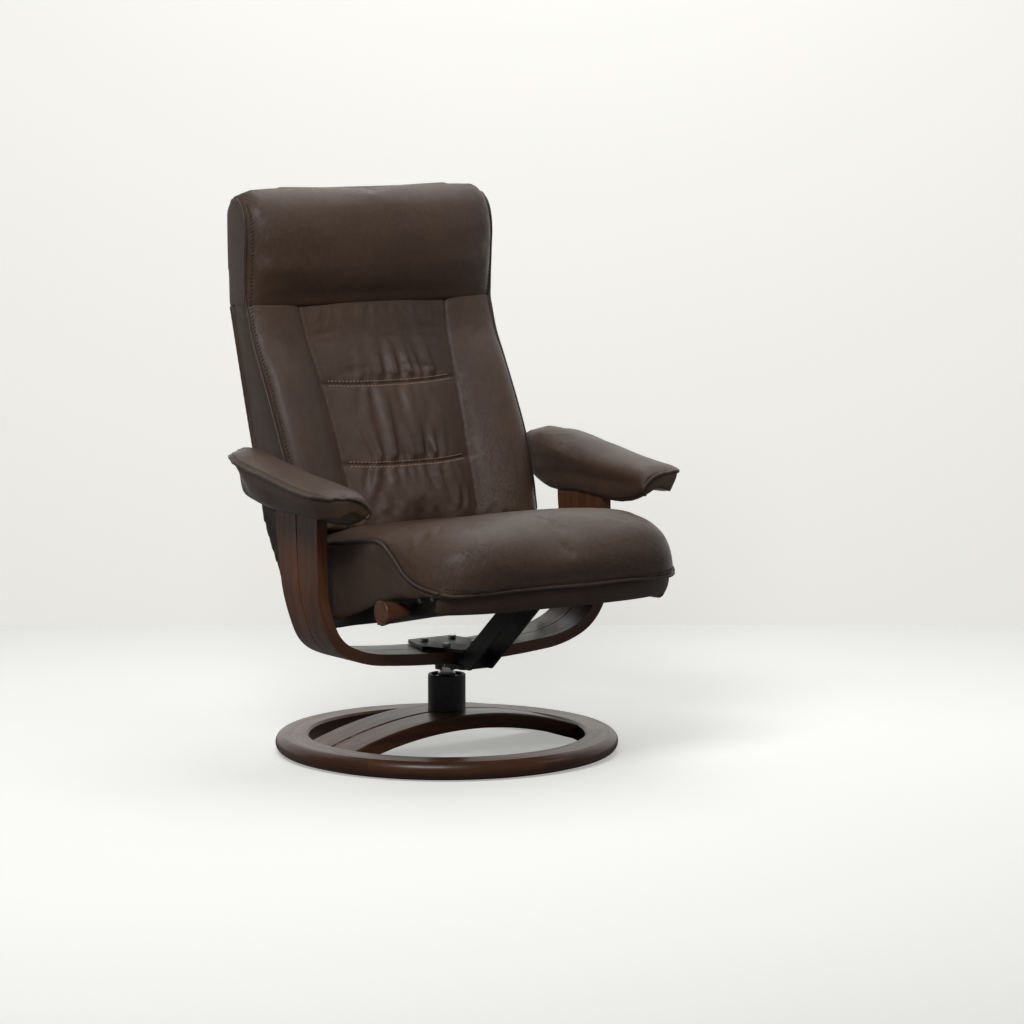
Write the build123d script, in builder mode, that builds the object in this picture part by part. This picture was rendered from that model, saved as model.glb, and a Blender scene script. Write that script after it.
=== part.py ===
from build123d import *
from math import cos, radians, sin
import os

# A swivelling recliner armchair. X points forward, +Y to the sitter's left and Z up.
# The origin is where the swivel axis meets the floor. All sizes are in millimetres.

# ---- driving dimensions ----

# ring base and its arched cross-beam
RING_OUTER = 310
RING_INNER = 250
RING_BOTTOM = 3
RING_TOP = 35
ARCH_TOP = 75
ARCH_RADIUS = 720
ARCH_THICK = 27
ARCH_HALF_WIDTH = 71
STRIP_GAP = 1.5

# swivel column
COLUMN_RADIUS = 34
COLUMN_WALL = 5
COLUMN_SEAT = 76
COLUMN_TOP = 141
SPINDLE_RADIUS = 13
NECK_RADIUS = 12.5
RUNNING_FIT = 0.05

# U-shaped arm bow, seen from the front: half width to the middle of the wood, and its bends
BOW_MID = 304.5
BOW_THICK = 21
BOW_TOP = 470
BOW_BEND_START = 331.5
BOW_BENDS = ((190, 26), (85, 38), (200, 20), (1716, 6))
BOW_CENTRE_LOW = 170.5

# seat line: the underside of the seat frame slopes up to the front, and the seat glides along it
SEAT_SLOPE = 12
SEAT_DATUM = 244
SIDE_BAR_Y = 235.5
SIDE_BAR_THICK = 5
SIDE_BAR_HEIGHT = 38
RAIL_START = 135
RAIL_END = 345
RAIL_BOTTOM = -6
RAIL_HEIGHT = 36
RAIL_WALL = 3
KNOB_U = 250
KNOB_V = 10
CROSS_TUBE_U = 262
CROSS_TUBE_V = 8

# back: hinged to the arm bow, and linked to the seat below its hinge
PIVOT_X = -50
PIVOT_Z = 385
LINK_DROP = 124
LUG_Y = 248.5
LUG_THICK = 5
BACK_TUBE_Y = 236
BACK_TUBE_RADIUS = 10

# headrest hinge
HEAD_X = -278
HEAD_Z = 800

# arm pads
PAD_INNER = 288
PAD_OUTER = 392

os.makedirs("parts", exist_ok=True)


def save(piece, name):
    """Label a finished solid and write it to its own file."""
    piece.label = name
    export_step(piece, f"parts/{name}.step")


def side_plane(y):
    """An upright plane at a distance y from the middle: local x is forward, local y is up."""
    return Plane.XZ.offset(-y)


def seat_side(y):
    """An upright plane at y that is tilted with the seat: local x runs along the seat line."""
    slope = radians(SEAT_SLOPE)
    return Plane(origin=(0, y, SEAT_DATUM), x_dir=(cos(slope), 0, sin(slope)), z_dir=(0, -1, 0))


def seat_level(v):
    """A plane parallel to the seat's underside, v above it."""
    slope = radians(SEAT_SLOPE)
    lift = (-sin(slope) * v, 0, SEAT_DATUM + cos(slope) * v)
    return Plane(origin=lift, x_dir=(cos(slope), 0, sin(slope)), z_dir=(-sin(slope), 0, cos(slope)))


def seat_point(u, v):
    """Where the point u along the seat line and v above it lies: (x, z)."""
    slope = radians(SEAT_SLOPE)
    return (u * cos(slope) - v * sin(slope), SEAT_DATUM + u * sin(slope) + v * cos(slope))


SIDES = (("left", 1), ("right", -1))

# ---- base: ring, arched beam and column ----

with BuildPart() as base_ring:
    with BuildSketch(Plane.XZ):
        with BuildLine():
            outer = ThreePointArc((296, RING_BOTTOM), (RING_OUTER - 0.5, 23), (297, RING_TOP))
            top = Line(outer @ 1, (RING_INNER + 4, RING_TOP))
            inner = Polyline(top @ 1, (RING_INNER, RING_TOP - 4), (RING_INNER, RING_BOTTOM))
            Line(inner @ 1, outer @ 0)
        make_face()
    revolve(axis=Axis.Z)
    fillet(base_ring.edges().filter_by(GeomType.CIRCLE).sort_by(SortBy.RADIUS)[-1], 2)
save(base_ring.part, "base_ring")

FOOT_BOLTS = PolarLocations(23, 4, start_angle=45)
CLAMP_TOP = ARCH_TOP - ARCH_THICK + 2

for name, near, far in (("front", STRIP_GAP, ARCH_HALF_WIDTH), ("rear", -STRIP_GAP, -ARCH_HALF_WIDTH)):
    with BuildPart() as strip:
        with BuildSketch(Plane.YZ.offset(near)):
            with Locations((0, ARCH_TOP - ARCH_RADIUS)):
                Circle(ARCH_RADIUS)
                Circle(ARCH_RADIUS - ARCH_THICK, mode=Mode.SUBTRACT)
            with Locations((0, ARCH_TOP)):
                Rectangle(2 * RING_INNER, 200, mode=Mode.INTERSECT)
        extrude(amount=far - near)
        long_edges = strip.edges().filter_by(GeomType.CIRCLE).filter_by(lambda e: e.radius > 600)
        fillet(long_edges, 3.5)
        with BuildSketch(Plane.XY):
            Circle(RING_INNER)
        extrude(amount=100, mode=Mode.INTERSECT)
        with BuildSketch(Plane.XY.offset(COLUMN_SEAT - 4)):
            Circle(COLUMN_RADIUS + 0.5)
        extrude(amount=20, mode=Mode.SUBTRACT)
        with BuildSketch(Plane.XY.offset(CLAMP_TOP)):
            Rectangle(82, 82)
        extrude(amount=-10, mode=Mode.SUBTRACT)
        with BuildSketch(Plane.XY):
            with FOOT_BOLTS:
                Circle(4.2)
        extrude(amount=100, mode=Mode.SUBTRACT)
    save(strip.part, f"base_bow_{name}")

with BuildPart() as floor_strip:
    with BuildSketch(Plane.XY):
        Circle(286)
        Circle(266, mode=Mode.SUBTRACT)
    extrude(amount=RING_BOTTOM)
save(floor_strip.part, "floor_strip")

with BuildPart() as base_clamp_plate:
    with BuildSketch(Plane.XY.offset(CLAMP_TOP - 5)):
        RectangleRounded(80, 80, 12)
        with FOOT_BOLTS:
            Circle(4.2, mode=Mode.SUBTRACT)
    extrude(amount=5)
save(base_clamp_plate.part, "base_clamp_plate")

with BuildPart() as column_foot_plate:
    with BuildSketch(Plane.XY.offset(COLUMN_SEAT - 4)):
        Circle(COLUMN_RADIUS)
        with FOOT_BOLTS:
            Circle(4, mode=Mode.SUBTRACT)
    extrude(amount=4)
save(column_foot_plate.part, "column_foot_plate")

with BuildPart() as column_bolts:
    with BuildSketch(Plane.XY.offset(CLAMP_TOP - 11)):
        with FOOT_BOLTS:
            RegularPolygon(7.4, 6)
    extrude(amount=6)
    with BuildSketch(Plane.XY.offset(CLAMP_TOP - 5)):
        with FOOT_BOLTS:
            Circle(4)
    extrude(amount=COLUMN_SEAT - CLAMP_TOP + 5)
save(column_bolts.part, "column_bolts")

with BuildPart() as column_tube:
    with BuildSketch(Plane.XY.offset(COLUMN_SEAT)):
        Circle(COLUMN_RADIUS)
        Circle(COLUMN_RADIUS - COLUMN_WALL, mode=Mode.SUBTRACT)
    extrude(amount=COLUMN_TOP - COLUMN_SEAT)
    fillet(column_tube.edges().group_by(Axis.Z)[-1], 2)
save(column_tube.part, "column_tube")

WASHER_LOW = COLUMN_TOP - 9
WASHER_TOP = COLUMN_TOP - 5

with BuildPart() as spindle_bush:
    with BuildSketch(Plane.XY.offset(COLUMN_SEAT)):
        Circle(COLUMN_RADIUS - COLUMN_WALL)
        Circle(SPINDLE_RADIUS + RUNNING_FIT, mode=Mode.SUBTRACT)
    extrude(amount=WASHER_LOW - COLUMN_SEAT)
save(spindle_bush.part, "spindle_bush")

with BuildPart() as thrust_washer:
    with BuildSketch(Plane.XY.offset(WASHER_LOW)):
        Circle(22)
        Circle(SPINDLE_RADIUS + 0.3, mode=Mode.SUBTRACT)
    extrude(amount=WASHER_TOP - WASHER_LOW)
save(thrust_washer.part, "thrust_washer")

# ---- swivelling frame: spindle, hub, arm bow ----

HUB_LOW = 150
PLATE_LOW = 193.2
PLATE_TOP = 199.2
NOSE_X = 96

with BuildPart() as swivel_spindle:
    with BuildSketch(Plane.XY.offset(COLUMN_SEAT + 4)):
        Circle(SPINDLE_RADIUS)
    extrude(amount=WASHER_TOP - COLUMN_SEAT - 2)
    with BuildSketch(Plane.XY.offset(WASHER_TOP + 0.2)):
        Circle(16)
    extrude(amount=8)
    fillet(swivel_spindle.edges().group_by(Axis.Z)[-1], 1)
    with BuildSketch(Plane.XY.offset(WASHER_TOP + 5)):
        Circle(NECK_RADIUS)
    extrude(amount=PLATE_TOP - WASHER_TOP - 9)
save(swivel_spindle.part, "swivel_spindle")

HUB_BOLTS = [(-28, 30), (-28, -30), (44, 30), (44, -30)]

with BuildPart() as hub_bracket:
    with BuildSketch(Plane.XY.offset(PLATE_LOW)):
        with BuildLine():
            Polyline((-60, -46), (20, -66), (NOSE_X, -30), (NOSE_X, 30), (20, 66), (-60, 46), close=True)
        make_face()
        fillet(vertices(), 8)
    extrude(amount=PLATE_TOP - PLATE_LOW)
    with BuildSketch(Plane.XY.offset(BOW_CENTRE_LOW - 8.7)):
        with BuildLine():
            Polyline((-36, -40), (NOSE_X, -30), (NOSE_X, 30), (-36, 40), close=True)
        make_face()
        fillet(vertices(), 10)
    extrude(amount=8)
    with BuildSketch(Plane.XY.offset(HUB_LOW)):
        Circle(21)
    extrude(amount=BOW_CENTRE_LOW - 8.7 - HUB_LOW)
    with BuildSketch(Plane.XY.offset(BOW_CENTRE_LOW - 8.7)):
        with Locations((0.5 * (NOSE_X + 71), 0)):
            Rectangle(NOSE_X - 71, 52)
    extrude(amount=PLATE_TOP - BOW_CENTRE_LOW + 8.7)
    with BuildSketch(Plane.XY.offset(HUB_LOW)):
        Circle(NECK_RADIUS)
        with Locations(*HUB_BOLTS):
            Circle(4)
    extrude(amount=PLATE_TOP - 4 - HUB_LOW, mode=Mode.SUBTRACT)
    with BuildSketch(Plane.XY.offset(HUB_LOW)):
        with Locations(*HUB_BOLTS):
            Circle(4)
    extrude(amount=100, mode=Mode.SUBTRACT)
save(hub_bracket.part, "hub_bracket")

with BuildPart() as hub_bolts:
    for z, height, radius, corners in (
        (PLATE_TOP, 5.5, 7.2, 6),
        (BOW_CENTRE_LOW - 14.7, 6, 7.2, 6),
    ):
        with BuildSketch(Plane.XY.offset(z)):
            with Locations(*HUB_BOLTS):
                RegularPolygon(radius, corners)
        extrude(amount=height)
    with BuildSketch(Plane.XY.offset(BOW_CENTRE_LOW - 8.7)):
        with Locations(*HUB_BOLTS):
            Circle(4)
    extrude(amount=PLATE_TOP - BOW_CENTRE_LOW + 8.7)
save(hub_bolts.part, "hub_bolts")


def bow_outline(shift):
    """One face of the right half of the bow, shift outside the middle of the wood, top to middle."""
    run = Line((BOW_MID + shift, BOW_TOP), (BOW_MID + shift, BOW_BEND_START))
    for radius, turn in BOW_BENDS:
        run = JernArc(run @ 1, run % 1, radius + shift, -turn)
    return run @ 1


# side edges of the two strips: the bow is widest under the arms and waisted at its bends
BOW_REAR = ((-57, 150), (-55, 200), (-45, 250), (-52, 325), (-68, 410), (-70, 480))
BOW_SEAM = ((2, 150), (4, 200), (12, 250), (8, 325), (0, 410), (-1, 480))
BOW_FRONT = ((62, 150), (64, 200), (69, 250), (69.5, 325), (68, 410), (68, 480))
ARM_SCREW_X = (-45, -18, 20, 46)

for name, edge, side in (("front", BOW_FRONT, 1), ("rear", BOW_REAR, -1)):
    with BuildPart() as strip:
        with BuildSketch(Plane.YZ.offset(-100)):
            with BuildLine():
                outer_end = bow_outline(BOW_THICK / 2)
                inner_end = bow_outline(-BOW_THICK / 2)
                Line((BOW_MID + BOW_THICK / 2, BOW_TOP), (BOW_MID - BOW_THICK / 2, BOW_TOP))
                Line(outer_end, inner_end)
            make_face()
            mirror(about=Plane.YZ)
        extrude(amount=200)
        with BuildSketch(Plane.XZ):
            with BuildLine():
                outside = Spline(*edge)
                seam = Spline(*[(x + side * STRIP_GAP, z) for x, z in BOW_SEAM])
                Line(outside @ 0, seam @ 0)
                Line(outside @ 1, seam @ 1)
            make_face()
        extrude(amount=400, both=True, mode=Mode.INTERSECT)
        with BuildSketch(Plane.XY.offset(HUB_LOW)):
            Circle(NECK_RADIUS + 1)
            with Locations(*HUB_BOLTS):
                Circle(4.2)
        extrude(amount=80, mode=Mode.SUBTRACT)
        with BuildSketch(Plane.XY.offset(BOW_TOP - 45)):
            for x in ARM_SCREW_X:
                with Locations((x, BOW_MID), (x, -BOW_MID)):
                    Circle(2.5)
        extrude(amount=50, mode=Mode.SUBTRACT)
    save(strip.part, f"arm_bow_{name}")

# arms: a board screwed to the top of the bow, and the stuffed pad round it
BOARD_TOP = BOW_TOP + 12
BOARD_X = 44
BOARD_Y = 316
BOARD_LENGTH = 212
BOARD_WIDTH = 44

with BuildPart() as arm_screws:
    for side in (1, -1):
        for x in ARM_SCREW_X:
            with BuildSketch(Plane.XY.offset(BOW_TOP - 45)):
                with Locations((x, side * BOW_MID)):
                    Circle(2.5)
            extrude(amount=BOARD_TOP - BOW_TOP + 45 - 4)
            with BuildSketch(Plane.XY.offset(BOARD_TOP - 4)):
                with Locations((x, side * BOW_MID)):
                    Circle(5)
            extrude(amount=4)
save(arm_screws.part, "arm_screws")

for name, side in SIDES:
    with BuildPart() as arm_board:
        with BuildSketch(Plane.XY.offset(BOW_TOP)):
            with Locations((BOARD_X, side * BOARD_Y)):
                RectangleRounded(BOARD_LENGTH, BOARD_WIDTH, 14)
            for x in ARM_SCREW_X:
                with Locations((x, side * BOW_MID)):
                    Circle(2.5, mode=Mode.SUBTRACT)
        extrude(amount=BOARD_TOP - BOW_TOP)
        with BuildSketch(Plane.XY.offset(BOARD_TOP - 4)):
            for x in ARM_SCREW_X:
                with Locations((x, side * BOW_MID)):
                    Circle(5)
        extrude(amount=4, mode=Mode.SUBTRACT)
    save(arm_board.part, f"arm_board_{name}")

    with BuildPart() as arm_pad:
        with BuildSketch(side_plane(side * PAD_INNER)):
            with BuildLine():
                top = Spline((-182, 560), (-160, 568), (-60, 549), (60, 529), (150, 519), (190, 512), (206, 496))
                Polyline(top @ 1, (204, BOW_TOP + 3), (188, BOW_TOP), (-112, BOW_TOP), (-165, 500), top @ 0)
            make_face()
        extrude(amount=-side * (PAD_OUTER - PAD_INNER))
        with BuildSketch(Plane.YZ.offset(-200)):
            with BuildLine():
                Polyline(
                    (side * 342, BOW_TOP - 1), (side * 400, BOW_TOP + 18), (side * 400, BOW_TOP - 40),
                    (side * 342, BOW_TOP - 40), close=True,
                )
            make_face()
        extrude(amount=450, mode=Mode.SUBTRACT)
        with BuildSketch(side_plane(side * 345)):
            with BuildLine():
                Polyline((-190, 548), (-110, 540), (-70, 502), (-16, 484), (27, 440), (-190, 440), close=True)
            make_face()
        extrude(amount=-side * 60, mode=Mode.SUBTRACT)
        with BuildSketch(Plane.XY.offset(BOW_TOP)):
            with BuildLine():
                Polyline((-190, side * 340), (-140, side * 400), (-190, side * 400), close=True)
            make_face()
        extrude(amount=150, mode=Mode.SUBTRACT)
        with BuildSketch(Plane.XY.offset(BOW_TOP)):
            with Locations((BOARD_X, side * BOARD_Y)):
                RectangleRounded(BOARD_LENGTH + 2, BOARD_WIDTH + 2, 15)
        extrude(amount=BOARD_TOP - BOW_TOP + 0.5, mode=Mode.SUBTRACT)
    save(arm_pad.part, f"arm_pad_{name}")

    with BuildPart() as back_pivot:
        with BuildSketch(side_plane(side * (BOW_MID - BOW_THICK / 2))):
            with Locations((PIVOT_X + 6, PIVOT_Z)):
                RectangleRounded(34, 46, 8)
        extrude(amount=side * 4)
        with BuildSketch(side_plane(side * (BOW_MID - BOW_THICK / 2 - 4))):
            with Locations((PIVOT_X, PIVOT_Z)):
                Circle(12)
        extrude(amount=side * 36)
        with BuildSketch(side_plane(side * (LUG_Y + 8))):
            with Locations((PIVOT_X, PIVOT_Z)):
                Circle(6)
        extrude(amount=side * 13)
    save(back_pivot.part, f"back_pivot_{name}")

# seat carrier: two bars rise from the hub to a cross tube, with a slide block at each end
TUBE_X, TUBE_Z = seat_point(CROSS_TUBE_U, CROSS_TUBE_V)
TUBE_RADIUS = 11
BLOCK_INNER = 202
BLOCK_OUTER = SIDE_BAR_Y - SIDE_BAR_THICK / 2 - RAIL_WALL - 0.5
BLOCK_START = 205
BLOCK_END = 315

for name, side in SIDES:
    with BuildPart() as support_bar:
        with BuildSketch(side_plane(side * 23)):
            with BuildLine():
                Polyline(
                    (NOSE_X, 163), (NOSE_X + 14, 163), (TUBE_X + 18, TUBE_Z - 6), (TUBE_X + 12, TUBE_Z + 13),
                    (TUBE_X - 8, TUBE_Z + 14), (NOSE_X + 4, 198), (NOSE_X, 198), close=True,
                )
            make_face()
            fillet(vertices().group_by(Axis.X)[-1], 5)
            with Locations((TUBE_X, TUBE_Z)):
                Circle(TUBE_RADIUS, mode=Mode.SUBTRACT)
        extrude(amount=3, both=True)
    save(support_bar.part, f"support_bar_{name}")

    with BuildPart() as slide_block:
        with BuildSketch(seat_side(side * BLOCK_INNER)):
            with Locations((0.5 * (BLOCK_START + BLOCK_END), RAIL_BOTTOM + RAIL_HEIGHT / 2)):
                RectangleRounded(BLOCK_END - BLOCK_START, RAIL_HEIGHT - 2 * RAIL_WALL - 0.6, 5)
        extrude(amount=-side * (BLOCK_OUTER - BLOCK_INNER))
        with BuildSketch(side_plane(side * BLOCK_INNER)):
            with Locations((TUBE_X, TUBE_Z)):
                Circle(TUBE_RADIUS)
        extrude(amount=-side * 18, mode=Mode.SUBTRACT)
    save(slide_block.part, f"slide_block_{name}")

with BuildPart() as guide_cross_tube:
    with BuildSketch(side_plane(0)):
        with Locations((TUBE_X, TUBE_Z)):
            Circle(TUBE_RADIUS)
            Circle(TUBE_RADIUS - 2.5, mode=Mode.SUBTRACT)
    extrude(amount=BLOCK_INNER + 18, both=True)
save(guide_cross_tube.part, "guide_cross_tube")

# ---- seat: steel frame, glide rails, springs and cushion ----

BAR_START = -68
BAR_END = 350
BAR_INNER = SIDE_BAR_Y - SIDE_BAR_THICK / 2
PIN_U = PIVOT_X * cos(radians(SEAT_SLOPE)) + (PIVOT_Z - LINK_DROP - SEAT_DATUM) * sin(radians(SEAT_SLOPE))
PIN_V = -PIVOT_X * sin(radians(SEAT_SLOPE)) + (PIVOT_Z - LINK_DROP - SEAT_DATUM) * cos(radians(SEAT_SLOPE))
SCREW_U = (150, 196, 290, 330)

for name, side in SIDES:
    with BuildPart() as side_bar:
        with BuildSketch(seat_side(side * SIDE_BAR_Y)):
            with Locations((0.5 * (BAR_START + BAR_END), SIDE_BAR_HEIGHT / 2)):
                RectangleRounded(BAR_END - BAR_START, SIDE_BAR_HEIGHT, 10)
            with Locations((PIN_U, PIN_V)):
                Circle(5, mode=Mode.SUBTRACT)
            with Locations((KNOB_U, KNOB_V)):
                Circle(4 + RUNNING_FIT, mode=Mode.SUBTRACT)
        extrude(amount=SIDE_BAR_THICK / 2, both=True)
    save(side_bar.part, f"seat_side_bar_{name}")

    with BuildPart() as glide_rail:
        with BuildSketch(Plane.YZ.offset(0)):
            with Locations((side * (BAR_INNER - 16.5), RAIL_BOTTOM + RAIL_HEIGHT / 2)):
                Rectangle(33, RAIL_HEIGHT)
            with Locations((side * (BAR_INNER - RAIL_WALL - 15), RAIL_BOTTOM + RAIL_HEIGHT / 2)):
                Rectangle(30, RAIL_HEIGHT - 2 * RAIL_WALL, mode=Mode.SUBTRACT)
        extrude(amount=RAIL_END - RAIL_START)
        with BuildSketch(side_plane(side * (BAR_INNER + 1))):
            with Locations((KNOB_U - RAIL_START, KNOB_V)):
                Circle(6)
        extrude(amount=side * 6, mode=Mode.SUBTRACT)
    rail_start_x, rail_start_z = seat_point(RAIL_START, 0)
    tilt = Location((rail_start_x, 0, rail_start_z), (0, -SEAT_SLOPE, 0))
    save(glide_rail.part.moved(tilt), f"glide_rail_{name}")

with BuildPart() as rail_screws:
    for side in (1, -1):
        with BuildSketch(seat_side(side * (BAR_INNER + SIDE_BAR_THICK))):
            with Locations(*[(u, 24) for u in SCREW_U]):
                Circle(5)
        extrude(amount=-side * 2.5)
save(rail_screws.part, "rail_screws")

with BuildPart() as link_pins:
    for side in (1, -1):
        with BuildSketch(seat_side(side * BAR_INNER)):
            with Locations((PIN_U, PIN_V)):
                Circle(5)
        extrude(amount=-side * 20)
save(link_pins.part, "link_pins")

for name, u in (("rear", -40), ("front", 334)):
    with BuildPart() as cross_bar:
        with BuildSketch(seat_side(0)):
            with Locations((u, SIDE_BAR_HEIGHT / 2)):
                RectangleRounded(20, SIDE_BAR_HEIGHT - 6, 4)
                RectangleRounded(16, SIDE_BAR_HEIGHT - 10, 3, mode=Mode.SUBTRACT)
        extrude(amount=BAR_INNER if name == "rear" else 198, both=True)
    save(cross_bar.part, f"seat_cross_bar_{name}")

SPRING_V = SIDE_BAR_HEIGHT + 3
SPRING_U = (-40, 334)
with BuildPart() as seat_springs:
    for y in (-150, -75, 0, 75, 150):
        waves = 11
        step = (SPRING_U[1] - SPRING_U[0]) / waves
        bends = [(SPRING_U[0] + i * step, y + (22 if i % 2 else -22)) for i in range(waves + 1)]
        with BuildLine(seat_level(SPRING_V)) as wire:
            FilletPolyline(*bends, radius=10)
        with BuildSketch(Plane(origin=wire.line @ 0, z_dir=wire.line % 0)):
            Circle(1.8)
        sweep(path=wire.line)
save(seat_springs.part, "seat_springs")

with BuildPart() as seat_dust_cover:
    with BuildSketch(seat_level(SIDE_BAR_HEIGHT - 7)):
        with Locations((0.5 * (-29 + 323), 0)):
            Rectangle(350, 2 * 196)
    extrude(amount=1.5)
save(seat_dust_cover.part, "seat_dust_cover")

SEAT_HALF = 277
SEAT_NARROW = 238
CUSHION_LOW_V = 32
POCKET_V = SIDE_BAR_HEIGHT + 6
low_front = seat_point(360, CUSHION_LOW_V)
low_rear = seat_point(-74, CUSHION_LOW_V)

with BuildPart() as seat_cushion:
    with BuildSketch(Plane.XZ):
        with BuildLine():
            top = Spline((-112, 398), (-20, 409), (90, 426), (200, 450), (285, 457), (360, 440), (398, 398), (392, 345))
            Polyline(top @ 1, low_front, low_rear, (-112, 300), top @ 0)
        make_face()
    extrude(amount=SEAT_HALF, both=True)
    with BuildSketch(Plane.XY.offset(200)):
        with BuildLine():
            Polyline(
                (-112, -SEAT_NARROW), (-18, -SEAT_NARROW), (-18, -SEAT_HALF), (400, -SEAT_HALF),
                (400, SEAT_HALF), (-18, SEAT_HALF), (-18, SEAT_NARROW), (-112, SEAT_NARROW), close=True,
            )
        make_face()
        fillet(vertices().group_by(Axis.X)[-1], 45)
    extrude(amount=300, mode=Mode.INTERSECT)
    with BuildSketch(seat_level(0)):
        with Locations((0.5 * (BAR_START + BAR_END) - 2, 0)):
            Rectangle(BAR_END - BAR_START + 14, 2 * (SIDE_BAR_Y + 6))
    extrude(amount=POCKET_V, mode=Mode.SUBTRACT)
save(seat_cushion.part, "seat_cushion")

# friction knobs: turning one clamps its slide block
for name, side in SIDES:
    knob_base = 246
    with BuildPart() as knob:
        with BuildSketch(seat_side(side * knob_base)):
            with Locations((KNOB_U, KNOB_V)):
                Circle(12.5)
        with BuildSketch(seat_side(side * (knob_base + 50))):
            with Locations((KNOB_U, KNOB_V)):
                Circle(22.5)
        loft()
        fillet(knob.faces().sort_by(SortBy.AREA)[-2].edges(), 2.5)
        with BuildSketch(seat_side(side * knob_base)):
            with Locations((KNOB_U, KNOB_V)):
                Circle(4)
        extrude(amount=-side * 20, mode=Mode.SUBTRACT)
    save(knob.part, f"knob_{name}")

    with BuildPart() as clamp_spindle:
        with BuildSketch(seat_side(side * (BLOCK_OUTER + 0.5))):
            with Locations((KNOB_U, KNOB_V)):
                Circle(4)
        extrude(amount=-side * (knob_base + 20 - BLOCK_OUTER - 0.5))
    save(clamp_spindle.part, f"clamp_spindle_{name}")

# ---- back: tube frame, link lugs, springs, cushion and rear cover ----

BACK_REAR = ((-310, 800), (-243, 577), (-203, 454), (-176, 348), (-149, 278), (-112, 243))
BACK_TUBE = ((-147, 345), (-174, 450), (-214, 570), (-272, 768))
COVER_THICK = 12
COVER_LIP = ((-98, 253), (-138, 289), (-163, 352), (-191, 457), (-231, 580), (-297, 797))

with BuildPart() as rear_cover:
    with BuildSketch(Plane.XZ):
        with BuildLine():
            outside = Spline(*BACK_REAR)
            inside = Spline(*COVER_LIP)
            Line(outside @ 1, inside @ 0)
            Line(inside @ 1, outside @ 0)
        make_face()
    extrude(amount=268, both=True)
    for side in (1, -1):
        with BuildSketch(side_plane(side * 254)):
            with BuildLine():
                Polyline(
                    (-186, 426), (-82, 426), (-80, 312), (-104, 262), (-124, 262), (-170, 352), close=True
                )
            make_face()
        extrude(amount=-side * 14)
    with BuildSketch(Plane.YZ.offset(-400)):
        with BuildLine():
            Polyline((-262, 810), (-268, 420), (-222, 235), (222, 235), (268, 420), (262, 810), close=True)
        make_face()
        fillet(vertices().group_by(Axis.Y)[0], 20)
    extrude(amount=400, mode=Mode.INTERSECT)
save(rear_cover.part, "rear_cover")

with BuildPart() as back_frame:
    for side in (1, -1):
        with BuildLine(side_plane(side * BACK_TUBE_Y)) as tube_path:
            FilletPolyline(*BACK_TUBE, radius=150)
        with BuildSketch(Plane(origin=tube_path.line @ 0, z_dir=tube_path.line % 0)):
            Circle(BACK_TUBE_RADIUS)
        sweep(path=tube_path.line)
    for x, z in (BACK_TUBE[0], BACK_TUBE[-1]):
        with BuildSketch(side_plane(0)):
            with Locations((x + (2 if z < 400 else -2), z + (6 if z < 400 else -6))):
                Circle(BACK_TUBE_RADIUS)
        extrude(amount=BACK_TUBE_Y, both=True)
save(back_frame.part, "back_frame")

for name, side in SIDES:
    with BuildPart() as back_lug:
        with BuildSketch(side_plane(side * LUG_Y)):
            with BuildLine():
                Polyline(
                    (PIVOT_X + 17, PIVOT_Z + 17), (PIVOT_X + 17, PIVOT_Z - 20), (PIVOT_X + 13, PIVOT_Z - LINK_DROP - 13),
                    (PIVOT_X - 13, PIVOT_Z - LINK_DROP - 13), (PIVOT_X - 22, PIVOT_Z - 75),
                    (-140, 340), (-153, 345), (-165, 394), (-156, 403), close=True,
                )
            make_face()
            fillet(vertices(), 8)
            with Locations((PIVOT_X, PIVOT_Z)):
                Circle(6 + RUNNING_FIT, mode=Mode.SUBTRACT)
            with Locations((PIVOT_X, PIVOT_Z - LINK_DROP + 1.5)):
                SlotCenterToCenter(4.2, 11, rotation=90, mode=Mode.SUBTRACT)
        extrude(amount=LUG_THICK / 2, both=True)
    save(back_lug.part, f"back_lug_{name}")

with BuildPart() as back_springs:
    for x, z in ((-188, 480), (-213, 555), (-237, 630), (-261, 710)):
        waves = 11
        span = 2 * (BACK_TUBE_Y - BACK_TUBE_RADIUS)
        bends = [(-span / 2 + i * span / waves, 14 if i % 2 else -14) for i in range(waves + 1)]
        tilted = Plane(origin=(x, 0, z), x_dir=(0, 1, 0), z_dir=(0.95, 0, 0.31))
        with BuildLine(tilted) as wire:
            FilletPolyline(*bends, radius=9)
        with BuildSketch(Plane(origin=wire.line @ 0, z_dir=wire.line % 0)):
            Circle(1.8)
        sweep(path=wire.line)
save(back_springs.part, "back_springs")

CUSHION_INSIDE = ((-181, 427), (-190, 457), (-230, 580), (-296, 797))
CUSHION_LOW = 427
CUSHION_HALF = 272
POCKET_HALF = 250

with BuildPart() as back_cushion:
    with BuildSketch(Plane.XZ):
        with BuildLine():
            front = Spline((-60, CUSHION_LOW), (-78, 470), (-122, 565), (-178, 668), (-218, 750), (-233, 785))
            inside = Spline(*CUSHION_INSIDE)
            Line(front @ 1, inside @ 1)
            Line(inside @ 0, front @ 0)
        make_face()
    extrude(amount=CUSHION_HALF, both=True)
    with BuildSketch(Plane.XZ):
        with BuildLine():
            ahead = Spline(*[(x + 30, z) for x, z in CUSHION_INSIDE])
            behind = Spline(*[(x - 8, z) for x, z in CUSHION_INSIDE])
            Line(ahead @ 0, behind @ 0)
            Line(ahead @ 1, behind @ 1)
        make_face()
        with Locations((-240, 900)):
            Rectangle(200, 232, mode=Mode.SUBTRACT)
    extrude(amount=POCKET_HALF, both=True, mode=Mode.SUBTRACT)
    with BuildSketch(Plane.XY.offset(760)):
        with Locations((HEAD_X, 219), (HEAD_X, -219)):
            Rectangle(30, 26)
    extrude(amount=60, mode=Mode.SUBTRACT)
save(back_cushion.part, "back_cushion")

# ---- headrest: hinge plates on the back, a bent rod frame and its cushion ----

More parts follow.
